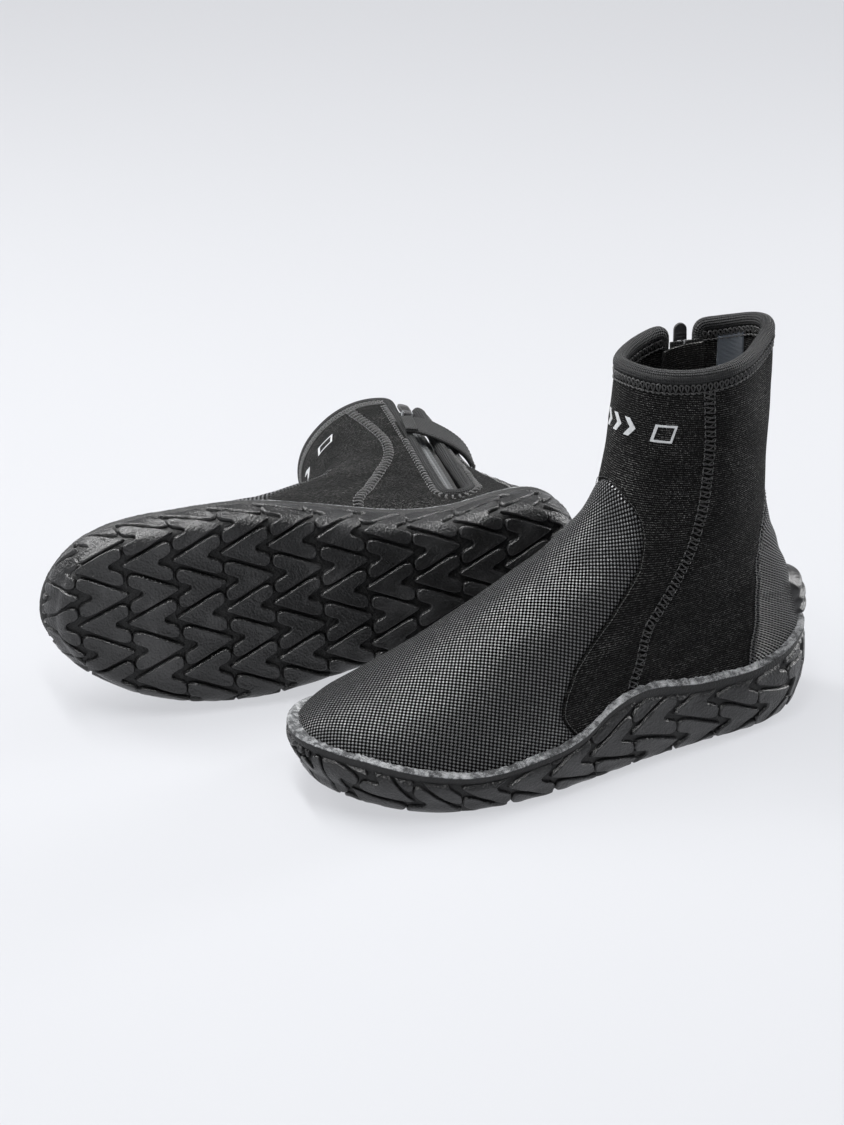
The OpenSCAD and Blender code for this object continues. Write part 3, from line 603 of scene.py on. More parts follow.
def rows(za, zb, step, ea=True, eb=True, extra=()):
    n = max(2, int(round((zb - za) / step)))
    z = list(np.linspace(za, zb, n + 1)) + list(extra)
    for e, base, sg in ((ea, za, 1), (eb, zb, -1)):
        if e: z += [base + sg * x for x in (.35, .8, 1.4)]
    z = sorted(z); o = [z[0]]
    for x in z[1:]:
        if x - o[-1] > .12: o.append(x)
    return np.array(o)


RIDGE_Z = np.linspace(9, 150, 300)


def drape_uv(p):
    """Cloth coordinates of the front patch: v along the foot's ridge, u round it."""
    d = np.array([-.82, .572]); e = np.array([.572, .82])
    r = P(1, 0.0, RIDGE_Z)
    tr, qr = r[:, 1] * d[0] + r[:, 2] * d[1], r[:, 1] * e[0] + r[:, 2] * e[1]
    o = np.argsort(tr)
    t = p[..., 1] * d[0] + p[..., 2] * d[1]
    q = p[..., 1] * e[0] + p[..., 2] * e[1]
    g = np.maximum(np.interp(t, tr[o], qr[o]) - q, 0)
    u = np.sign(p[..., 0]) * np.sqrt(p[..., 0] ** 2 + g ** 2) * 1.06
    return np.stack([u, t], -1)


def flat_uv(s, f, z, p):
    """Arc length round the boot from the middle of the outer side, and height."""
    ref = np.linspace(-180, 540, 721)
    out = np.empty(np.shape(f))
    for i in range(len(z)):
        q = P(s, wrap(np.where(ref > 180, ref - 360, ref)), z[i])
        L = np.concatenate([[0], np.cumsum(np.linalg.norm(np.diff(q, axis=0), axis=1))])
        out[i] = np.interp(f[i], ref, L) - np.interp(0, ref, L)
    return np.stack([out, np.broadcast_to(p[..., 2], out.shape)], -1)


def sewn(s, name, Z, F, mat, node, mask=None, t=5.0, drape=False, o=0.0, body="boot"):
    F = np.asarray(F)
    zz = Z[:, None] + 0 * F
    base = SR(s, F, zz)
    d = near(base, SEAMS[s])
    dep = -1.35 * np.exp(-(d / .95) ** 2) - .42 * np.exp(-(d / 3.2) ** 2)
    A = base + nrm(s, F, zz) * (dep + o)[..., None]
    B = S(s, F, zz, -t)
    v, f, used = shell(A, B, mask)
    uv = drape_uv(base) if drape else flat_uv(s, F, Z, base)
    uv = np.concatenate([uv.reshape(-1, 2), uv.reshape(-1, 2)])[used]
    return build(f"{SIDE[s]}_{name}", s, v, f, body, mat, (node,), uv)


SEAMS = {}


def upper(s):
    SEAMS[s] = seam_points(s)
    top = SHAFT_H + 1.2
    # front patch
    Z = rows(10, 147.2, 1.7, False, True, np.linspace(126, 147.2, 46))
    F = [cols(s, z, [(-max(f_vamp(z), .05), max(f_vamp(z), .05), 96, True, True)]) for z in Z]
    sewn(s, "vamp_patch", Z, F, MAT["dots"], "vamp_panel", drape=True, o=.15)
    # front panel, in one piece round the patch
    Z = rows(10, top, 2.0, False, False, np.concatenate([np.linspace(126, 147.4, 46), [147.5]]))
    F, M = [], []
    for z in Z:
        v = float(f_vamp(z)) if z < 147.4 else 0.02 + 24 * float(sstep((z - 147.4) / 30))
        v = max(v, .02)
        F.append(cols(s, z, [(-float(f_seam_l(z)), -v, 34, True, z < 147.45), (-v, v, 14, False, False), (v, float(f_seam_m(z)), 34, z < 147.45, True)]))
        M.append(z)
    F = np.array(F); nu = F.shape[1]
    mask = np.ones((len(Z) - 1, nu - 1), int)
    mask[np.ix_(Z[:-1] < 147.39, np.arange(33, 33 + 13))] = 0
    sewn(s, "front_panel_skin", Z, F, MAT["jersey"], "front_panel", mask)
    # outer quarter
    Z = rows(10, top, 2.0, False, False, np.linspace(110, 136, 44))
    F = [cols(s, z, [(-(180 if z > 134 else float(f_heel_l(z))), -float(f_seam_l(z)), 60, True, True)]) for z in Z]
    sewn(s, "lateral_quarter_skin", Z, F, MAT["jersey"], "lateral_quarter")
    # inner quarter with the zip's slot
    z0 = SLOT_C - math.sqrt(SLOT ** 2 - 9)
    Z = rows(10, top, 2.0, False, False, np.concatenate([np.linspace(z0, 55, 24), np.linspace(112, 136, 34), [z0]]))
    Z = Z[np.abs(Z - z0) > .05]; Z = np.sort(np.append(Z, z0))
    F = []
    for z in Z:
        dd = float(slot_d(z)) - .4
        a, b, c, e = float(f_seam_m(z)), float(zip_f(s, dd, z)), float(zip_f(s, -dd, z)), 180 if z > 134 else float(f_heel_m(z))
        F.append(cols(s, z, [(a, b, 18, True, False), (b, c, 6, False, False), (c, e, 26, False, True)]))
    F = np.array(F); mask = np.ones((len(Z) - 1, F.shape[1] - 1), int)
    mask[np.ix_(Z[:-1] > z0 - .01, np.arange(17, 22))] = 0
    sewn(s, "medial_quarter_skin", Z, F, MAT["jersey"], "medial_quarter", mask)
    # heel patch
    Z = rows(10, 134, 2.0, False, True, np.linspace(108, 134, 50))
    F = [cols(s, z, [(float(f_heel_m(z)) - .01, 360 - float(f_heel_l(z)) + .01, 48, True, True)]) for z in Z]
    sewn(s, "heel_patch", Z, F, MAT["dots"], "heel_counter", o=.15)


# ---------------------------------------------------------------- rolled binding: one run round the slot and the mouth
def binding(s):
    r = SLOT - 3.4
    def slot_pt(w, z): return on_zip(s, w, z, -1.5), nrm(s, zip_f(s, w, z), z)
    C, N, W, H = [], [], [], []
    rt = lambda z: r + 2 * (z - SLOT_C) / 154
    zt = SHAFT_H - 3.0
    zs = np.linspace(SLOT_C, zt, 60)
    a = np.radians(np.linspace(0, 180, 26))[1:-1]
    path = [(-rt(z), z, 0) for z in zs[::-1]] + [(-r * math.cos(x), SLOT_C - r * math.sin(x), 0) for x in a] + [(rt(z), z, 0) for z in zs]
    for w, z, _ in path:
        c, n = slot_pt(w, z)
        C.append(c); N.append(n)
        k = sstep((z - (zt - 14)) / 14)
        wide = 1 + .10 * (w < 0)
        W.append((5.6 + 1.2 * k) * wide); H.append((6.4 + 1.0 * k) * wide)
    # mouth: from the front end round the toe side and the back to the rear end
    f0 = float(zip_f(s, 6.6, SHAFT_H)); f1 = float(zip_f(s, -6.6, SHAFT_H)) - 360
    f = np.linspace(f0 - 6, f1 + 6, 150)
    for x in f:
        C.append(S(s, x, SHAFT_H + 3.8, -2.5)); N.append(nrm(s, x, SHAFT_H)); W.append(7.4); H.append(7.3)
    C, N = np.array(C), np.array(N)
    # closed loop: round the two corners where the slot's rolls meet the mouth's roll
    W, H = np.array(W), np.array(H)
    L = np.concatenate([[0], np.cumsum(np.linalg.norm(np.diff(np.vstack([C, C[:1]]), axis=0), axis=1))])
    x = np.linspace(0, L[-1], 420, endpoint=False)
    I = lambda A: np.stack([np.interp(x, L, np.append(A[:, k], A[0, k])) for k in range(A.shape[1])], -1)
    C, N, WH = I(C), I(N), I(np.stack([W, H], -1))
    for _ in range(10):
        C = (np.roll(C, 1, 0) + 2 * C + np.roll(C, -1, 0)) / 4
        WH = (np.roll(WH, 1, 0) + 2 * WH + np.roll(WH, -1, 0)) / 4
    for _ in range(14): N = (np.roll(N, 1, 0) + 2 * N + np.roll(N, -1, 0)) / 4
    p = C
    C = C + N * (.22 * wob(p, .09, 2.0 + s))[:, None]
    V, f, uv = sweep(C, N, WH[:, 0] * (1 + .03 * wob(p, .15, s)), WH[:, 1], 20, closed=True, pw=.35)
    build(f"{SIDE[s]}_rolled_binding", s, V, f, "boot", MAT["binding"], ("collar_binding", "slot_binding"), uv, sharp=60)
    return C, N


# ---------------------------------------------------------------- stitching
def stitch_frames(s, f, z, off=0.0):
    """Points, normals and sideways directions along a line on the upper."""
    p = SR(s, f, z, off); n = nrm(s, f, z)
    t = np.gradient(p, axis=0); t /= np.linalg.norm(t, axis=1, keepdims=True)
    return p, n, t, np.cross(n, t)


def bars(p, n, t, b, pitch, a0, a1, slant, r, hump, m=5, dip=None):
    """Slanted threads that cross a seam from a0 to a1 sideways."""
    x, L = resample(p, pitch)
    P0, N0, T0, B0 = along([p, n, t, b], L, x)
    u = np.linspace(0, 1, m)
    jit = .12 * np.sin(np.arange(len(x)) * 2.399)
    side = a0 + (a1 - a0) * u
    C = (P0[:, None] + B0[:, None] * side[None, :, None] + T0[:, None] * ((u - .5)[None] * slant + jit[:, None])[..., None]
         + N0[:, None] * (hump * np.sin(np.pi * u) - .1)[None, :, None])
    return tubes(C, np.broadcast_to(N0[:, None], C.shape), r)


def chain(p, n, t, b, pitch, side, r, length=.8, lift_=.25, amp=.35):
    """A row of short thread links parallel to a seam."""
    x, L = resample(p, pitch)
    P0, N0, T0, B0 = along([p, n, t, b], L, x)
    u = np.linspace(-.5, .5, 5)
    C = (P0[:, None] + B0[:, None] * (side + amp * (np.arange(len(x)) % 2 * 2 - 1)[:, None] * (u * 2)[None])[..., None]
         + T0[:, None] * (u * pitch * length)[None, :, None] + N0[:, None] * (lift_ * np.cos(np.pi * u))[None, :, None])
    return tubes(C, np.broadcast_to(N0[:, None], C.shape), r)


def stitching(s):
    fine, dark, light = [], [], []
    za, zb = 22., 203.
    z = np.linspace(za, zb, 500)
    for f, sg in ((-f_seam_l(z), -1), (f_seam_m(z), 1)):
        p, n, t, b = stitch_frames(s, f, z)
        k = z > float(edge_z(f.mean())) * .85
        p, n, t, b = p[k], n[k], t[k], b[k]
        sd = 1 if sg < 0 else -1
        (dark if s > 0 else fine).append(bars(p, n, t, b, 2.6 if s > 0 else 4.4, -2.7, 2.7, 1.5, .42 if s > 0 else .72, .65))
        fine.append(chain(p, n, t, b, 2.6 if s > 0 else 4.4, 2.7, .3, .66 if s > 0 else .4)); fine.append(chain(p, n, t, b, 2.6 if s > 0 else 4.4, -2.7, .3, .66 if s > 0 else .4))
        dark.append(bars(p, n, t, b, 4.2, -2.6, 2.6, -2.2, .24, .9))
        light.append(chain(p[::1], n, t, b, 4.2, 2.7, .2, .34, .42, .2)); light.append(chain(p, n, t, b, 4.2, -2.7, .2, .34, .42, .2))
    # edge of the front patch: a tight dark row just outside it
    z = np.concatenate([np.linspace(24, 126, 260), np.linspace(126.4, 147.35, 240)])
    for sg in (1, -1):
        f = sg * f_vamp(z)
        p, n, t, b = stitch_frames(s, f, z)
        dark.append(chain(p, n, t, b, 1.9, 1.15 * sg, .24, .72, .12, .0))
    # heel patch: a light fine row along its front edge
    z = np.concatenate([np.linspace(30, 108, 220), np.linspace(108.4, 133.9, 200)])
    for f, sg in ((360 - f_heel_l(z), -1), (f_heel_m(z), 1)):
        p, n, t, b = stitch_frames(s, f, z)
        light.append(chain(p, n, t, b, 1.8, .0, .34, .75, -.55, .3))
        fine.append(chain(p, n, t, b, 2.2, 2.0 * (1 if sg > 0 else -1), .26, .7, .15, .0))
    z = np.linspace(135, 203, 200)
    p, n, t, b = stitch_frames(s, 180 + 0 * z, z)
    dark.append(bars(p, n, t, b, 2.35, -2.6, 2.6, 1.3, .42, .6))
    # under the mouth's roll: big overlock loops outside, plain zigzag inside
    f0 = float(zip_f(s, 12.5, SHAFT_H)); f1 = float(zip_f(s, -12.5, SHAFT_H)) - 360
    f = np.linspace(f0, f1, 700)
    for inner in (0, 1):
        zc = SHAFT_H - 2.2
        p = S(s, f, zc, (-5.0 if inner else 0.0)) + (0 if inner else 1) * nrm(s, f, zc) * relief(s, f, zc)[:, None]
        n = nrm(s, f, zc) * (-1 if inner else 1)
        t = np.gradient(p, axis=0); t /= np.linalg.norm(t, axis=1, keepdims=True)
        up = np.cross(t, n); up *= np.sign(up[:, 2:3])
        x, L = resample(p, 2.9)
        P0, N0, T0, U0 = along([p, n, t, up], L, x)
        u = np.linspace(0, 1, 9)
        # a loop: up the near side, over and back down, with a fat foot
        lx = .95 * np.sin(2 * np.pi * u); lz = -2.3 + 4.4 * np.sin(np.pi * u) ** .8
        C = P0[:, None] + T0[:, None] * lx[None, :, None] + U0[:, None] * (lz + .6)[None, :, None] + N0[:, None] * (.35 + .55 * np.sin(np.pi * u))[None, :, None]
        fine.append(tubes(C, np.broadcast_to(N0[:, None], C.shape), .44))
        lx = np.linspace(-1.55, 1.55, 5)
        C = P0[:, None] + T0[:, None] * lx[None, :, None] + U0[:, None] * (-1.9 - .35 * np.cos(lx * 1.9))[None, :, None] + N0[:, None] * (.3 + .35 * np.cos(lx))[None, :, None]
        fine.append(tubes(C, np.broadcast_to(N0[:, None], C.shape), .42))
    # comb-like stitches beside the slot's rolls, front side and round the lower end
    z = np.linspace(SHAFT_H - 8, SLOT_C, 260); a = np.radians(np.linspace(0, 180, 60))
    rr = SLOT + .6
    w = np.concatenate([rr + 2 * (z - SLOT_C) / 154, rr * np.cos(a)[1:-1], -(rr + 2 * (z[::-1] - SLOT_C) / 154)])
    zz = np.concatenate([z, (SLOT_C - rr * np.sin(a))[1:-1], z[::-1]])
    f = zip_f(s, w, zz)
    p, n, t, b = stitch_frames(s, f, zz)
    out = np.sign(np.sum(b[40] * (SR(s, zip_f(s, w[40] + 3, zz[40]), zz[40]) - p[40])))
    # flat and short beside the keeper strap's sewn end
    i0, i1 = int(np.argmax(z < 166)), int(np.argmax(z < 136))
    for sl, lo, hump in ((slice(0, i0), -1.2, .6), (slice(i0, i1), .9, .2), (slice(i1, None), -1.2, .6)):
        fine.append(bars(p[sl], n[sl], t[sl], (b * out)[sl], 1.9 if s > 0 else 3.8, lo, 2.6, .5, .38 if s > 0 else .66, hump))
    light.append(chain(p, n, t, b * out, 1.9 if s > 0 else 3.8, 2.9, .26, .7 if s > 0 else .4, .2, .0))
    # the right boot's main stitches, its cross bars too, take the lighter copy of the thread: painted highlight
    for nm, parts, m in (("seam_stitches", fine, "thread" if s > 0 else "thread_r"), ("seam_stitches_dark", dark, "thread_dark"), ("seam_stitches_light", light, "thread_light")):
        V, F, U = join(parts)
        build(f"{SIDE[s]}_{nm}", s, V, F, "boot", MAT[m], (), U, sharp=0)


# ---------------------------------------------------------------- sole
FQ = np.linspace(-180, 180, 1441)[:-1]
_p8 = P(1, FQ, 8.0); _n8 = nrm(1, FQ, 8.0); _n8[:, 2] = 0; _n8 /= np.linalg.norm(_n8, axis=1, keepdims=True)
INSET = (_p8 + _n8 * -3.5)[:, :2]
NH = _n8[:, :2]


def wall_off(f, z, e):
    m = (9 + e) / 2
    return np.where(z < m, 4.5 - .2 * np.clip((z - 8) / (m - 8), 0, 1), 4.3 - 1.2 * np.clip((z - m) / (e - .8 - m), 0, 1)) + 1.6 * np.exp(-(wrap(f) / 24) ** 2) * np.clip((z - 8) / (e - 8), 0, 1) ** 2


def on_edge(X, Y):
    """Nearest angle on the sole's inset outline, and the signed distance beyond it."""
    q = np.stack([X, Y], -1).reshape(-1, 2).astype(np.float32)
    I = INSET.astype(np.float32); ii = (I * I).sum(1)
    idx = np.empty(len(q), int)
    for i in range(0, len(q), 4000):
        idx[i:i + 4000] = np.argmin(ii[None] - 2 * q[i:i + 4000] @ I.T, axis=1)
    q = np.stack([X, Y], -1).reshape(-1, 2).astype(float)
    t = INSET[(idx + 1) % len(INSET)] - INSET[idx - 1]
    k = np.sum((q - INSET[idx]) * t, 1) / np.sum(t * t, 1) * 2
    k = np.clip(k, -.6, .6)
    f = FQ[idx] + k * .25
    base = INSET[idx] + t * (k / 2)[:, None]
    d = np.linalg.norm(q - base, axis=1) * np.sign(np.sum((q - base) * NH[idx], 1))
    return wrap(f).reshape(np.shape(X)), d.reshape(np.shape(X))


def sole_pt(X, Y, g):
    """The tread's surface: X, Y are unrolled sole coordinates and g is the depth under the lugs' tops."""
    X, Y, g = np.broadcast_arrays(np.asarray(X, float), np.asarray(Y, float), np.asarray(g, float))
    f, d = on_edge(X, Y)
    e = edge_z(f)
    arc = 8 * np.pi / 2
    z = 8 + (d - arc)
    g = g + 3.6 * sstep((z - (e - 6.5)) / 4.2)
    q = 1 - .26 * sstep(d / 14)
    a = np.clip(d / 8, 0, np.pi / 2)
    rr = 8 - g * q
    off = np.where(d < arc, -3.5 + rr * np.sin(a), 0)
    zc = np.where(d < arc, 8 - rr * np.cos(a), 0)
    zw = np.clip(z, 8, e - 1.0)
    off = np.where(d >= arc, wall_off(f, zw, e) - g * q, off)
    zc = np.where(d >= arc, zw, zc)
    w = Q(1, f, zc, off)
    inside = d <= 0
    w[inside, 0], w[inside, 1] = X[inside], Y[inside]
    w[inside, 2] = (g + lift(Y, g))[inside]
    return w, d, z - e


def lug_outline():
    h = np.array([(0, 14.7), (.9, 13.6), (3.1, 9.0), (5.7, 3.6), (8.2, -1.6), (10.3, -6.2), (11.1, -9.0), (10.9, -11.4), (9.6, -12.7),
                  (6.6, -12.9), (4.5, -12.3), (3.3, -10.2), (2.2, -7.6), (1.2, -5.6), (0, -5.0)], float)
    p = np.concatenate([h, (h * [-1, 1])[::-1][1:-1]])
    for _ in range(2):
        p = np.stack([.75 * p + .25 * np.roll(p, -1, 0), .25 * p + .75 * np.roll(p, -1, 0)], 1).reshape(-1, 2)
    L = np.concatenate([[0], np.cumsum(np.linalg.norm(np.diff(np.vstack([p, p[:1]]), axis=0), axis=1))])
    x = np.linspace(0, L[-1], 56, endpoint=False)
    q = np.vstack([p, p[:1]])
    return np.stack([np.interp(x, L, q[:, 0]), np.interp(x, L, q[:, 1])], -1)


def tread():
    o = lug_outline()
    t = np.roll(o, -1, 0) - np.roll(o, 1, 0); t /= np.linalg.norm(t, axis=1, keepdims=True)
    nn = np.stack([t[:, 1], -t[:, 0]], -1)
    if np.sum(nn * (o - [0, -1])) < 0: nn = -nn
    ring = [(o + nn * .62, 3.7), (o + nn * .34, 2.3), (o + nn * .14, 1.45), (o - nn * .12, .8), (o - nn * .45, .3), (o - nn * .8, .05), (o - nn * 1.05, .08)]
    R = np.stack([r for r, _ in ring]); G = np.array([g for _, g in ring])
    n = len(o)
    one = grid_faces(len(ring), n, 0, close_u=True)
    # the lug's face: filled with a constrained triangulation of a fine set of inner points
    from mathutils import geometry as mg
    rim = R[-1]
    lo, hi = rim.min(0), rim.max(0)
    gx, gy = np.meshgrid(np.arange(lo[0], hi[0], 1.5), np.arange(lo[1], hi[1], 1.5))
    pts = np.stack([gx.ravel() + .37 * np.sin(gy.ravel() * 2.1), gy.ravel()], -1)
    a, b = rim, np.roll(rim, -1, 0)
    cross = (a[None, :, 1] > pts[:, None, 1]) != (b[None, :, 1] > pts[:, None, 1])
    xi = a[None, :, 0] + (pts[:, None, 1] - a[None, :, 1]) / np.where(cross, b[None, :, 1] - a[None, :, 1], 1) * (b[None, :, 0] - a[None, :, 0])
    ins = (np.sum(cross & (pts[:, None, 0] < xi), 1) % 2) == 1
    ins &= np.sqrt(((pts[:, None] - rim[None]) ** 2).sum(-1)).min(1) > .7
    pts = pts[ins]
    vv = [Vector(q) for q in np.concatenate([rim, pts])]
    res = mg.delaunay_2d_cdt(vv, [], [list(range(n))], 1, 1e-5)
    got = np.array([q[:] for q in res[0]])
    dr = np.sqrt(((got[:, None] - rim[None]) ** 2).sum(-1))
    on = dr.min(1) < 2e-2
    pts = got[~on]
    new = np.where(on, dr.argmin(1) + (len(ring) - 1) * n, len(ring) * n + np.cumsum(~on) - 1)
    tri = new[np.array([q for q in res[2] if len(q) == 3])]
    tri = tri[(tri[:, 0] != tri[:, 1]) & (tri[:, 1] != tri[:, 2]) & (tri[:, 0] != tri[:, 2])]
    # both windings the same way: outward from the tread, i.e. towards smaller depth
    allp = np.concatenate([R.reshape(-1, 2), pts])
    def area_(q): 
        c = allp[q]; return np.sum(c[:, :, 0] * np.roll(c[:, :, 1], -1, 1) - np.roll(c[:, :, 0], -1, 1) * c[:, :, 1], 1)
    if area_(tri).mean() > 0: tri = tri[:, ::-1]
    if area_(one).mean() > 0: one = one[:, ::-1]
    edge = np.sqrt(((pts[:, None] - rim[None]) ** 2).sum(-1)).min(1)
    gface = .1 + .3 * sstep(edge / 2.6)
    V, F4, F3, nb = [], [], [], 0
    for k in range(-7, 8):
        d = 1 if k % 2 == 0 else -1
        for m in range(-2, 13):
            yc = 4 + m * 26.4
            wv = .35 * math.sin(k * 2.1 + m * 1.7)
            X = k * 16.6 + allp[:, 0]
            Y = yc + d * allp[:, 1] + wv
            g = np.concatenate([np.repeat(G, n), gface])
            _, dd = on_edge(np.array([k * 16.6, k * 16.6 + 11, k * 16.6 - 11, k * 16.6]), np.array([yc, yc, yc, yc + 12]))
            if dd.min() > 50: continue
            w, dq, over = sole_pt(X, Y, g)
            if over.min() > -4.5: continue
            V.append(w); nb0 = nb; nb += len(w)
            F4.append((one if d > 0 else one[:, ::-1]) + nb0); F3.append((tri if d > 0 else tri[:, ::-1]) + nb0)
    return np.concatenate(V), [np.concatenate(F4), np.concatenate(F3)]


def cup():
    f = np.linspace(-180, 180, 241)[:-1]
    e = edge_z(f)
    lip = 3.3 * np.exp(-(f / 16) ** 2)
    prof = []
    prof.append(Q(1, f, 9.0 + 0 * f, -1.0 + 0 * f)); prof.append(Q(1, f, 9.0 + 0 * f, 1.0 + 0 * f))
    for k in np.linspace(.1, 1, 7): prof.append(S(1, f, 9 + (e - 9) * k, 1.15))
    prof.append(S(1, f, e + .45, 1.9 + lip * .6)); prof.append(S(1, f, e + .35, 2.9 + lip))
    prof.append(S(1, f, e - .5, 3.55 + lip)); prof.append(S(1, f, e - 1.7, 3.45 + lip * .85)); prof.append(S(1, f, e - 3.2, 3.0 + lip * .5))
    for k in np.linspace(1, 0, 9)[1:]:
        z = 8 + (e - 3.2 - 8) * k
        prof.append(Q(1, f, z, wall_off(f, z, e) - 3 * .74))
    for a in np.linspace(np.pi / 2, 0, 9)[1:]:
        q = 1 - .26 * sstep(8 * a / 14); rr = 8 - 3 * q
        prof.append(Q(1, f, 8 - rr * math.cos(a) + 0 * f, -3.5 + rr * math.sin(a) + 0 * f))
    A = np.stack(prof)
    nv, nu = A.shape[:2]
    V = [A.reshape(-1, 3)]; F = [grid_faces(nv, nu, 0, close_u=True)]
    # floors: strips between the two sides at the same angle
    for r, flip in ((0, True), (nv - 1, False)):
        ring = A[r]; h = nu // 2
        i = np.arange(0, h + 1)
        left, right = ring[i % nu], ring[(nu - i) % nu]
        t = np.linspace(0, 1, 13)[None, :, None]
        G = left[:, None] * (1 - t) + right[:, None] * t
        if r: G[..., 2] = 3 + lift(G[..., 1], 3.0)
        b = sum(len(v) for v in V)
        V.append(G.reshape(-1, 3)); q = grid_faces(h + 1, 13, b)
        F.append(q[:, ::-1] if flip else q)
    return np.concatenate(V), [np.concatenate(F)]


SOLE_LUGS, SOLE_CUP = tread(), cup()


def clean(ob, dist=1e-6):
    import bmesh
    bm = bmesh.new(); bm.from_mesh(ob.data)
    bmesh.ops.remove_doubles(bm, verts=bm.verts, dist=dist)
    bmesh.ops.dissolve_degenerate(bm, edges=bm.edges, dist=1e-7)
    bmesh.ops.recalc_face_normals(bm, faces=bm.faces)
    bm.to_mesh(ob.data); bm.free(); ob.data.shade_smooth(); ob.data.set_sharp_from_angle(angle=math.radians(40))


def sole(s):
    v, f = SOLE_CUP
    # the sole's body takes the darker copy of the rubber: painted shade between the lugs
    ob = build(f"{SIDE[s]}_sole_cup", s, v, f, "boot", MAT["rubber_painted_shade"], ("outsole",), None, sharp=40)
    clean(ob)
    v, f = SOLE_LUGS
    build(f"{SIDE[s]}_tread_lugs", s, v, f, "boot", MAT["rubber"], (), None, sharp=0)
    # rough cement line over the sole's top edge
    fa = np.linspace(-180, 180, 721)[:-1]; e = edge_z(fa); lip = 3.3 * np.exp(-(fa / 16) ** 2)
    def ns(k, sd): return wob(P(1, fa, e), k, sd)
    hi = 1.15 + .45 * ns(.35, 1.0) + .4 * ns(.9, 2.0) + .4 * ns(2.1, 3.0)
    pts = []
    for t, o0 in ((-.45, 3.6), (-.1, 3.74), (.4, 3.2), (.85, 2.6)):
        pts.append(S(1, fa, e + t + .12 * ns(1.3, 5 + t), o0 + lip * (1 if t < .5 else .7) + .14 * ns(1.1, 7 + t)))
    for t, o0 in ((.35, 1.75), (.6, 1.25), (.85, .95), (1.0, .55), (1.05, -.3)):
        pts.append(S(s, fa, e + .7 + hi * t, o0 + .22 * ns(1.4, 9 + t * 3) + .16 * ns(2.6, 4 + t)) )
    pts.append(S(s, fa, e + .5, -.4)); pts.append(S(1, fa, e - .6, 1.6))
    A = np.stack(pts)
    build(f"{SIDE[s]}_cement_line", s, A.reshape(-1, 3), grid_faces(len(A), len(fa), 0, close_u=True, close_v=True), "boot", MAT["bond"], ("edge_bond_band",), None, sharp=50)
    # board and footbed
    for nm, node, z0, z1, off, mat, sl, crown in (("lasting_board", "midsole_board", 9.1, 11.3, -6.2, "board", "midsole_board", 0), ("footbed_pad", "footbed", 11.5, 15.4, -6.4, "foam", "footbed_foam", 1)):
        ff = np.concatenate([[.6, 2, 4, 7], np.linspace(11, 169, 60), [173, 176, 178, 179.4]])
        t = (1 - np.cos(np.linspace(0, np.pi, 21))) / 2
        p, q = Q(1, ff, z1, off), Q(1, -ff, z1, off)
        A = p[:, None] * (1 - t)[None, :, None] + q[:, None] * t[None, :, None]
        B = A.copy(); B[..., 2] -= z1 - z0
        if crown:
            edge = np.minimum(t, 1 - t)[None, :] * np.linalg.norm(p - q, axis=1)[:, None]
            A[..., 2] += -.9 * np.exp(-edge / 1.6) + 1.6 * np.exp(-((edge - 3) / 7) ** 2) * sstep((150 - ff)[:, None] / -60 + .3)
        v, f, used = shell(A, B)
        uv = A[..., :2].reshape(-1, 2); uv = np.concatenate([uv, uv])[used]
        ob = build(f"{SIDE[s]}_{nm}", s, v, f, "boot", MAT[mat], (node,), uv)
    # ribbed stop for a fin's strap
    Z = np.linspace(51.5, 77, 90); F = np.linspace(159, 201, 64)
    HZ = [50, 52.5, 53.5, 55, 56.5, 57.8, 59.4, 61, 62.5, 64, 65.4, 67, 69, 71, 73.5, 75, 78]
    HH = [0, .5, 4.6, 6.4, 6.5, 4.3, 4.4, 6.8, 6.9, 4.8, 4.8, 6.8, 6.9, 4.9, 2.3, .4, 0]
    ff, zz = np.meshgrid(F, Z)
    arch = 3.4 * ((ff - 180) / 20) ** 2
    hgt = cr(zz + arch, HZ, HH)
    k = np.clip(np.cos(np.radians((ff - 180) * 4.35)), 0, 1) ** .55
    o = .05 + np.clip(hgt, 0, 9) * (.25 + .75 * k) * sstep((20.6 - np.abs(ff - 180)) / 3) * sstep((zz - 51.5) / 1.5) * sstep((77 - zz) / 1.5)
    A = SR(s, ff, zz, o); B = S(s, ff, zz, -1.2)
    v, f, _ = shell(A, B)
    build(f"{SIDE[s]}_fin_strap_rib", s, v, f, "boot", MAT["stop"], ("fin_strap_stop",), None, sharp=50)


# ---------------------------------------------------------------- zip, strap and small parts
import bmesh
ZH = -8.3; ZA = ZH + 7.2; ZS = 193 - ZZ0


def bm_out(bm):
    bm.verts.index_update()
    V = np.array([v.co[:] for v in bm.verts])
    by = {}
    for f in bm.faces: by.setdefault(len(f.verts), []).append([v.index for v in f.verts])
    bm.free()
    return V, [np.array(q) for q in by.values()]


def prism(outline, x0, x1, bev=.3, seg=3, top_scale=1.0):
    """Outline in (y, z), extruded from x0 to x1, every edge rounded."""
    bm = bmesh.new()
    o = np.asarray(outline, float); c = o.mean(0)
    a = [bm.verts.new((x0, y, z)) for y, z in o]
    b = [bm.verts.new((x1, *(c + (np.array([y, z]) - c) * top_scale))) for y, z in o]
    bm.faces.new(a[::-1]); bm.faces.new(b)
    for i in range(len(a)):
        j = (i + 1) % len(a); bm.faces.new((a[i], a[j], b[j], b[i]))
    bmesh.ops.recalc_face_normals(bm, faces=bm.faces)
    if bev: bmesh.ops.bevel(bm, geom=[e for e in bm.edges], offset=bev, segments=seg, profile=.6, affect="EDGES", clamp_overlap=True)
    bmesh.ops.recalc_face_normals(bm, faces=bm.faces)
    return bm_out(bm)


def rrect(y0, y1, z0, z1, r, n=5):
    out = []
    for cy, cz, a0 in ((y1 - r, z1 - r, 0), (y0 + r, z1 - r, 90), (y0 + r, z0 + r, 180), (y1 - r, z0 + r, 270)):
        for a in np.linspace(a0, a0 + 90, n): out.append((cy + r * math.cos(math.radians(a)), cz + r * math.sin(math.radians(a))))
    return out


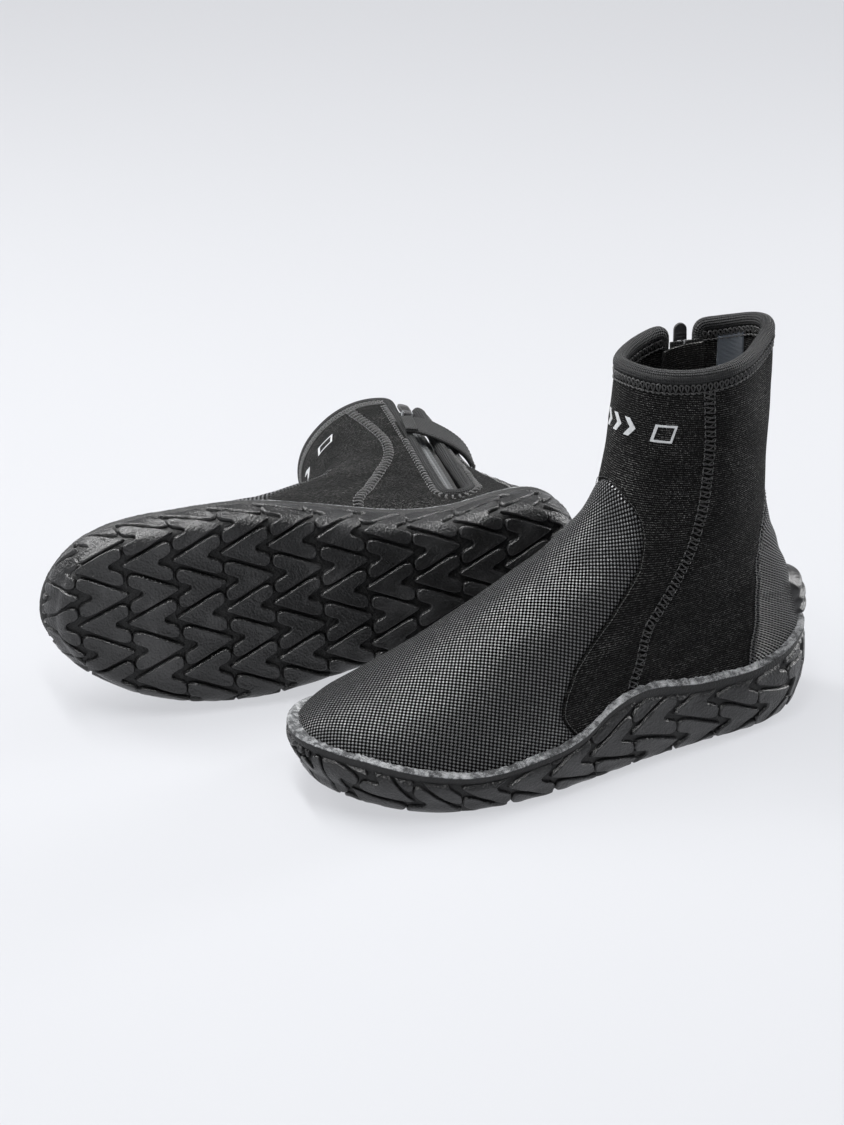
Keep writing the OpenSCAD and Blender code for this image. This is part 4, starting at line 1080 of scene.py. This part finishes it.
def rod(p0, p1, r, m=20, bev=.15):
    """Short pin with rounded ends."""
    p0, p1 = np.array(p0, float), np.array(p1, float)
    d = (p1 - p0) / np.linalg.norm(p1 - p0)
    C = np.array([p0, p0 + d * bev, p1 - d * bev, p1])
    a = np.array([1, 0, 0]) if abs(d[0]) < .9 else np.array([0, 0, 1])
    w = np.array([r - bev, r, r, r - bev]) * 2
    V, f, uv = sweep(C, np.tile(a - d * (a @ d), (4, 1)), w, w, m)
    return V, f


def put(s, parts):
    """Parts in the zip's frame, joined, in the boot's frame."""
    c, n, w, u, L = zip_axes(s)
    V, F, nb = [], {}, 0
    for v, f in parts:
        V.append(c + v[:, :1] * n + v[:, 1:2] * w + v[:, 2:3] * u)
        for q in (f if isinstance(f, list) else [f]): F.setdefault(q.shape[1], []).append(q + nb)
        nb += len(v)
    return np.concatenate(V), [np.concatenate(q) for q in F.values()]


def zipper(s):
    S_ = SIDE[s]; L = zip_axes(s)[4]
    # tapes with a corded edge
    parts, uvs = [], []
    zz = np.linspace(-4, L - 1, 130)
    for k in (1, -1):
        y = np.array([.55, .9, 1.4, 2.0, 2.8, 3.6, 4.6, 5.6, 6.8, 8.0])
        x = ZH + .8 + .35 * np.exp(-((y - 2.9) / .5) ** 2) + .12 * np.exp(-((y - 6.4) / .5) ** 2)
        yy, z2 = np.meshgrid(y, zz)
        A = np.stack([np.broadcast_to(x, yy.shape) + .1 * np.sin(z2 * .21 + k) * (yy / 8), k * yy, z2], -1)
        B = np.stack([np.full(yy.shape, ZH), k * yy, z2], -1)
        v, f, used = shell(A, B)
        parts.append((v, f if k > 0 else f[:, ::-1]))
        q = np.stack([yy, z2], -1).reshape(-1, 2); uvs.append(np.concatenate([q, q])[used])
    v, f = put(s, parts)
    build(f"{S_}_zip_tape_pair", s, v, f, "boot", MAT["tape"], ("zip_tapes",), np.concatenate(uvs), sharp=40)
    # moulded teeth, alternating, heads crossing the middle
    o = [(3.3, -.62), (3.3, .62), (2.2, .6), (1.35, .5), (.9, .4), (.35, .62), (-.25, .68), (-.62, .45), (-.68, 0), (-.62, -.45), (-.25, -.68), (.35, -.62), (.9, -.4), (1.35, -.5), (2.2, -.6)]
    tv, tf = prism(o, ZH + .7, ZH + 3.2, .22, 2, .9)
    n = int((L - 10) // 3)
    for k, nm in ((1, "front"), (-1, "rear")):
        parts = []
        for i in range(n + 1):
            z = 2.75 + 3 * i + (1.5 if k > 0 else 0)
            gap = .75 * float(sstep((z - ZS - 2) / 6))
            w = tv * [1, k, 1] + [0, k * gap, z]
            parts.append((w, [q if k > 0 else q[:, ::-1] for q in tf]))
        v, f = put(s, parts)
        build(f"{S_}_teeth_{nm}", s, v, f, "boot", MAT["teeth"], (f"zip_teeth_{nm}",), None, sharp=30)
    parts = [prism(rrect(-3, 3, -2.6, .5, .8), ZH + .7, ZH + 3.4, .3)]
    for k in (-1, 1): parts.append(prism(rrect(min(k * .6, k * 3), max(k * .6, k * 3), L - 4.5, L - 1.5, .6), ZH + .7, ZH + 3.5, .3))
    v, f = put(s, parts)
    build(f"{S_}_chain_stops", s, v, f, "boot", MAT["teeth"], ("zip_stops",), None, sharp=30)
    # slider: shaped plates, side walls and an arched bridge with its pin
    def sh(p, dx=0, dz=0): return (p[0] + [dx, 0, dz], p[1])
    top = [(-3.3, -5), (3.3, -5), (3.9, -3.4), (4.3, 0), (4.6, 3), (4.3, 4.4), (3.0, 5.0), (.7, 5.3), (-.7, 5.3), (-3.0, 5.0), (-4.3, 4.4), (-4.6, 3), (-4.3, 0), (-3.9, -3.4)]
    P_ = [prism(top, -3.9, -2.6, .38, 3, .95), prism(top, -8.7, -7.4, .35, 3, .97)]
    P_.append(prism(rrect(-1.7, 1.7, -3.6, 3.9, 1.2), -2.7, -2.15, .25, 2, .9))
    for k in (-1, 1):
        P_.append(prism(rrect(min(k * 3.3, k * 4.55), max(k * 3.3, k * 4.55), -4.6, 4.0, .5), -5.3, -3.3, .3))
        P_.append(prism(rrect(min(k * 2.4, k * 3.4), max(k * 2.4, k * 3.4), .2, 4.2, .48), -3.0, .35, .3, 3, .97))
    P_.append(rod((-.9, -3.45, 2.2), (-.9, 3.45, 2.2), .8))
    v, f = put(s, [sh(p, ZA, ZS) for p in P_])
    build(f"{S_}_slider_body", s, v, f, "slider", MAT["metal"], ("zip_slider",), None, sharp=30)
    # pull: rubber tab with an eye, a waist and grip ribs
    P_ = []
    ring_o = [(0.0, 0.0)]
    ang = np.linspace(0, 2 * np.pi, 33)[:-1]
    # eye as a thick washer along y
    prof = [(.86, -2.2), (.86, 2.2), (1.15, 2.35), (1.5, 2.2), (1.68, 1.9), (1.68, -1.9), (1.5, -2.2), (1.15, -2.35)]
    A = np.array([[(r * math.cos(a), y, r * math.sin(a)) for r, y in prof] for a in ang])
    P_.append((A.reshape(-1, 3), [grid_faces(32, 8, 0, close_u=True, close_v=True)]))
    tab = [(-2.1, .9), (2.1, .9), (2.2, 3.0), (3.3, 4.4), (3.7, 6), (3.6, 11), (3.55, 14)] + [(3.55 * math.cos(a), 14 + 3.55 * math.sin(a)) for a in np.radians(np.linspace(15, 165, 9))] + [(-3.55, 14), (-3.6, 11), (-3.7, 6), (-3.3, 4.4), (-2.2, 3.0)]
    P_.append(prism(tab, -.85, .85, .32, 3))
    for z in (6.4, 8.2, 10.0, 11.8):
        P_.append(prism(rrect(-2.7, 2.7, z - .45, z + .45, .44), .6, 1.12, .18, 2, .96)); P_.append(prism(rrect(-2.7, 2.7, z - .45, z + .45, .44), -1.1, -.6, .18, 2, .96))
    v, f = put(s, [sh(p, ZA - .9, ZS + 2.2) for p in P_])
    build(f"{S_}_pull_grip", s, v, f, "pull", MAT["pull"], ("zip_pull_tab",), None, sharp=35)
    # soft flap behind the zip
    Z = np.linspace(48, 205, 94); W = np.linspace(1.5, -1, 30)
    ww, z2 = np.meshgrid(W, Z)
    fz = zip_f(s, 13 * ww, z2)
    base = -13.6 if s > 0 else -12.2
    curl = .9 * np.sin(z2 * .085) * np.clip(1 - ww ** 2, 0, 1) + .5 * wob(np.stack([ww * 13, z2, z2 * 0], -1), .12, 3.0)
    A = S(s, fz, z2, base + .25 * curl); B = S(s, fz, z2, base - 1.5 + .25 * curl)
    v, f, used = shell(A, B); q = np.stack([ww * 13, z2], -1).reshape(-1, 2)
    build(f"{S_}_zip_flap", s, v, f, "boot", MAT["lining"], ("zip_gusset",), np.concatenate([q, q])[used])


def strap_f(s, t): a = zip_f(s, 12.5, 150.); return a + (163 - a) * t
def strap_c(t): return 151 - 9 * t * t
def strap_o(s, t):
    return 2.6 + (1.3 if s > 0 else .5) * np.sin(np.radians(np.minimum(1, t * 2.2) * 180)) + (2 if s > 0 else 3.2) * t * t - (0 if s > 0 else 2.6) * np.clip((t - .7) / .3, 0, 1) ** 2


def ribbon(s, t0, t1, nt, o0, o1, w=1.0, nv=21, corner=True, sag=0.0):
    T = np.linspace(t0, t1, nt)
    a = np.linspace(-1, 1, nv); a = np.sin(a * np.pi / 2)
    tt, vv = np.meshgrid(T, a, indexing="ij")
    r = 12 * w * np.ones_like(tt)
    if corner: r = r * (1 - .32 * np.clip((tt - .93) / .07, 0, 1) ** 1.6)
    th = (o1 - o0) / 2
    rim = np.clip((1 - np.abs(vv)) * r / 1.0, 0, 1) ** .5
    end = np.clip((tt - t0) / .006, 0, 1) ** .5 * np.clip((t1 - tt) / .006, 0, 1) ** .5
    half = th * (.25 + .75 * rim) * (.3 + .7 * end)
    mid = strap_o(s, tt) + (0 if s > 0 else 1.6) * sstep(3 * tt) * vv * w + (o0 + o1) / 2 + sag * np.sin(vv * 2.2) * tt ** 2
    A = S(s, strap_f(s, tt), strap_c(tt) + vv * r, mid + half)
    B = S(s, strap_f(s, tt), strap_c(tt) + vv * r, mid - half)
    v, f, used = shell(A, B)
    L = np.linalg.norm(np.diff(S(s, strap_f(s, T), strap_c(T), strap_o(s, T)), axis=0), axis=1)
    L = np.concatenate([[0], np.cumsum(L)])
    q = np.stack([np.broadcast_to(L[:, None], tt.shape), vv * r], -1).reshape(-1, 2)
    return v, f, np.concatenate([q, q])[used]


def strap(s):
    S_ = SIDE[s]
    v, f, uv = ribbon(s, 0, 1, 130, 0, 2)
    v2, f2, uv2 = ribbon(s, -.012, .13, 40, 1.9, 3.3, .97, corner=False)
    V, F, U = join([(v, [f], uv), (v2, [f2], uv2)])
    build(f"{S_}_strap_web", s, V, F, "strap", MAT["strap"], ("keeper_strap",), U, sharp=50)
    # stitched edges and the box stitch at the sewn end
    out = []
    for lo, hi, off in ((.02, .97, 2.0), ):
        T = np.linspace(lo, hi, 260)
        for vv in (-.83, .83):
            r = 12 * (1 - .32 * np.clip((T - .93) / .07, 0, 1) ** 1.6)
            p = S(s, strap_f(s, T), strap_c(T) + vv * r, strap_o(s, T) + (0 if s > 0 else 1.6) * sstep(3 * T) * vv + off); n = nrm(s, strap_f(s, T), strap_c(T))
            t = np.gradient(p, axis=0); t /= np.linalg.norm(t, axis=1, keepdims=True)
            out.append(chain(p, n, t, np.cross(n, t), 2.4, 0, .24, .72, .12, 0))
    for tt in (.012, .118):
        V_ = np.linspace(-10.5, 10.5, 60); T = np.full(60, tt)
        p = S(s, strap_f(s, T), strap_c(T) + V_, strap_o(s, T) + (0 if s > 0 else 1.6) * sstep(3 * T) * V_ / 12 + 3.3); n = nrm(s, strap_f(s, T), strap_c(T))
        t = np.gradient(p, axis=0); t /= np.linalg.norm(t, axis=1, keepdims=True)
        out.append(chain(p, n, t, np.cross(n, t), 2.2, 0, .26, .72, .12, 0))
    V, F, U = join(out)
    build(f"{S_}_strap_stitches", s, V, F, "strap", MAT["thread_dark"], (), U, sharp=0)
    v, f, uv = ribbon(s, .62, .94, 60, -1.2, -.05, .85, corner=True)
    build(f"{S_}_strap_hooks", s, v, f, "strap", MAT["hook"], ("strap_hook_pad",), uv)
    Z = np.linspace(127, 157, 30); fa = float(zip_f(s, -18, 150))
    ff, zz = np.meshgrid(np.linspace(fa, 170, 50), Z)
    rim = np.minimum(np.minimum(zz - 127, 157 - zz), np.minimum(ff - fa, 170 - ff) * .6)
    A = SR(s, ff, zz, .35 + .75 * np.clip(rim / .9, 0, 1) ** .5); B = S(s, ff, zz, -.3)
    v, f, used = shell(A, B); q = np.stack([ff * .65, zz], -1).reshape(-1, 2)
    build(f"{S_}_strap_loops", s, v, f, "boot", MAT["loop"], ("strap_loop_pad",), np.concatenate([q, q])[used])


def label(s):
    S_ = SIDE[s]
    ff, zz = np.meshgrid(np.linspace(136, 162, 34), np.linspace(185.5, 204.5, 24))
    rim = np.minimum(np.minimum(zz - 185.5, 204.5 - zz), np.minimum(ff - 136, 162 - ff) * .62)
    o = -5 - .15 - .55 * np.clip(rim / .6, 0, 1) ** .5
    A = S(s, ff, zz, o); B = S(s, ff, zz, -4.9)
    v, f, used = shell(A, B); q = np.stack([ff * .62, zz], -1).reshape(-1, 2)
    build(f"{S_}_blank_label", s, v, f, "boot", MAT["label"], ("collar_label",), np.concatenate([q, q])[used])


def marks(s):
    """Plain printed bars and chevrons across the front of the shaft."""
    sg = -1 if s > 0 else 1
    V, F, nb = [], [], 0
    def quad_(c, n1=10, n2=8):
        nonlocal nb
        c = np.array(c, float); a, b = np.linspace(0, 1, n1)[:, None, None], np.linspace(0, 1, n2)[None, :, None]
        g = (1 - a) * ((1 - b) * c[0] + b * c[1]) + a * ((1 - b) * c[3] + b * c[2])
        x, z = g[..., 0], g[..., 1]
        f = sg * (x / .68); zz = z + 181.0 - .02 * np.abs(x)
        A = SR(s, f, zz, .16); B = SR(s, f, zz, -.25)
        v, q, _ = shell(A, B); V.append(v); F.append(q + nb); nb += len(v)
    for x in (-21, -10.5, 0, 10.5):
        quad_([(x - 4, 5.2), (x - .2, 5.2), (x + 4.2, .2), (x + .4, .2)]); quad_([(x + .4, .2), (x + 4.2, .2), (x - .2, -5), (x - 4, -5)])
    a = [(25.5, 5), (36.5, 5), (34.5, -4.8), (23.5, -4.8)]; b = [(26.9, 3.8), (35.1, 3.8), (33.5, -3.6), (25.3, -3.6)]
    for i in range(4):
        j = (i + 1) % 4; quad_([a[i], a[j], b[j], b[i]], 6, 8)
    build(f"{SIDE[s]}_printed_mark", s, np.concatenate(V), np.concatenate(F), "boot", MAT["mark"], (), None, sharp=30)


for s in (1, -1):
    upper(s); binding(s); stitching(s); sole(s); zipper(s); strap(s); label(s); marks(s)

# ---------------------------------------------------------------- floor, light, camera
me = bpy.data.meshes.new("floor")
me.from_pydata([(-14, -14, -.0004), (14, -14, -.0004), (14, 14, -.0004), (-14, 14, -.0004)], [], [(0, 1, 2, 3)])
floor = bpy.data.objects.new("floor", me); sc.collection.objects.link(floor)
M = Mat("floor_paper"); n = M.noise(M.obj(), 3.0, 2)
me.materials.append(M.set(Base_Color=M.ramp(n, [(.2, (.129, .131, .136)), (.8, (.132, .134, .139))]), Roughness=.95, Specular_IOR_Level=.0,
                          Emission_Color=(.562, .569, .594, 1), Emission_Strength=1.0))

world = bpy.data.worlds.new("studio"); sc.world = world; world.use_nodes = True
world.node_tree.nodes["Background"].inputs[0].default_value = (.93, .955, 1.0, 1)
world.node_tree.nodes["Background"].inputs[1].default_value = .22

TARGET = Vector((-.01165, -.0639, .0904))
AZ, EL, DIST = math.radians(-26.115), math.radians(25.517), 1.42237
BACK = Vector((math.sin(AZ) * math.cos(EL), -math.cos(AZ) * math.cos(EL), math.sin(EL)))
cam = bpy.data.objects.new("camera", bpy.data.cameras.new("camera")); sc.collection.objects.link(cam)
cam.data.lens = 85; cam.data.sensor_width = 36; cam.data.clip_start = .01; cam.data.clip_end = 60
cam.location = TARGET + BACK * DIST
cam.rotation_mode = "QUATERNION"; cam.rotation_quaternion = (-BACK).to_track_quat("-Z", "Y")
sc.camera = cam

RIGHT = Vector((math.cos(AZ), math.sin(AZ), 0)); AWAY = Vector((-math.sin(AZ), math.cos(AZ), 0))
CENTRE = Vector((0, 0, .08))


def area(name, r, a, z, size, size_y, power, aim=CENTRE, color=(1, 1, 1)):
    l = bpy.data.lights.new(name, "AREA"); l.shape = "RECTANGLE"; l.size = size; l.size_y = size_y; l.energy = power; l.color = color
    o = bpy.data.objects.new(name, l); sc.collection.objects.link(o)
    o.location = RIGHT * r + AWAY * a + Vector((0, 0, z)) + Vector((0, 0, 0))
    o.rotation_mode = "QUATERNION"; o.rotation_quaternion = (aim - o.location).to_track_quat("-Z", "Y")
    return o


def sun(name, r, a, z, power, angle):
    l = bpy.data.lights.new(name, "SUN"); l.energy = power; l.angle = math.radians(angle)
    o = bpy.data.objects.new(name, l); sc.collection.objects.link(o)
    d = RIGHT * r + AWAY * a + Vector((0, 0, z))
    o.location = d * 3; o.rotation_mode = "QUATERNION"; o.rotation_quaternion = (-d).to_track_quat("-Z", "Y")
    return o


sun("overhead", -.25, .35, 1.0, 1.2, 70)
area("strip_top", -.25, -.1, 1.2, 1.5, .12, 26)
area("key", -1.2, .6, 1.0, .45, .8, 17)
area("rim_right", 1.2, .55, .6, .2, 1.0, 17)
area("front_low", -1.0, -1.1, .55, .2, .9, 2.6)

sc.view_settings.view_transform = "Standard"
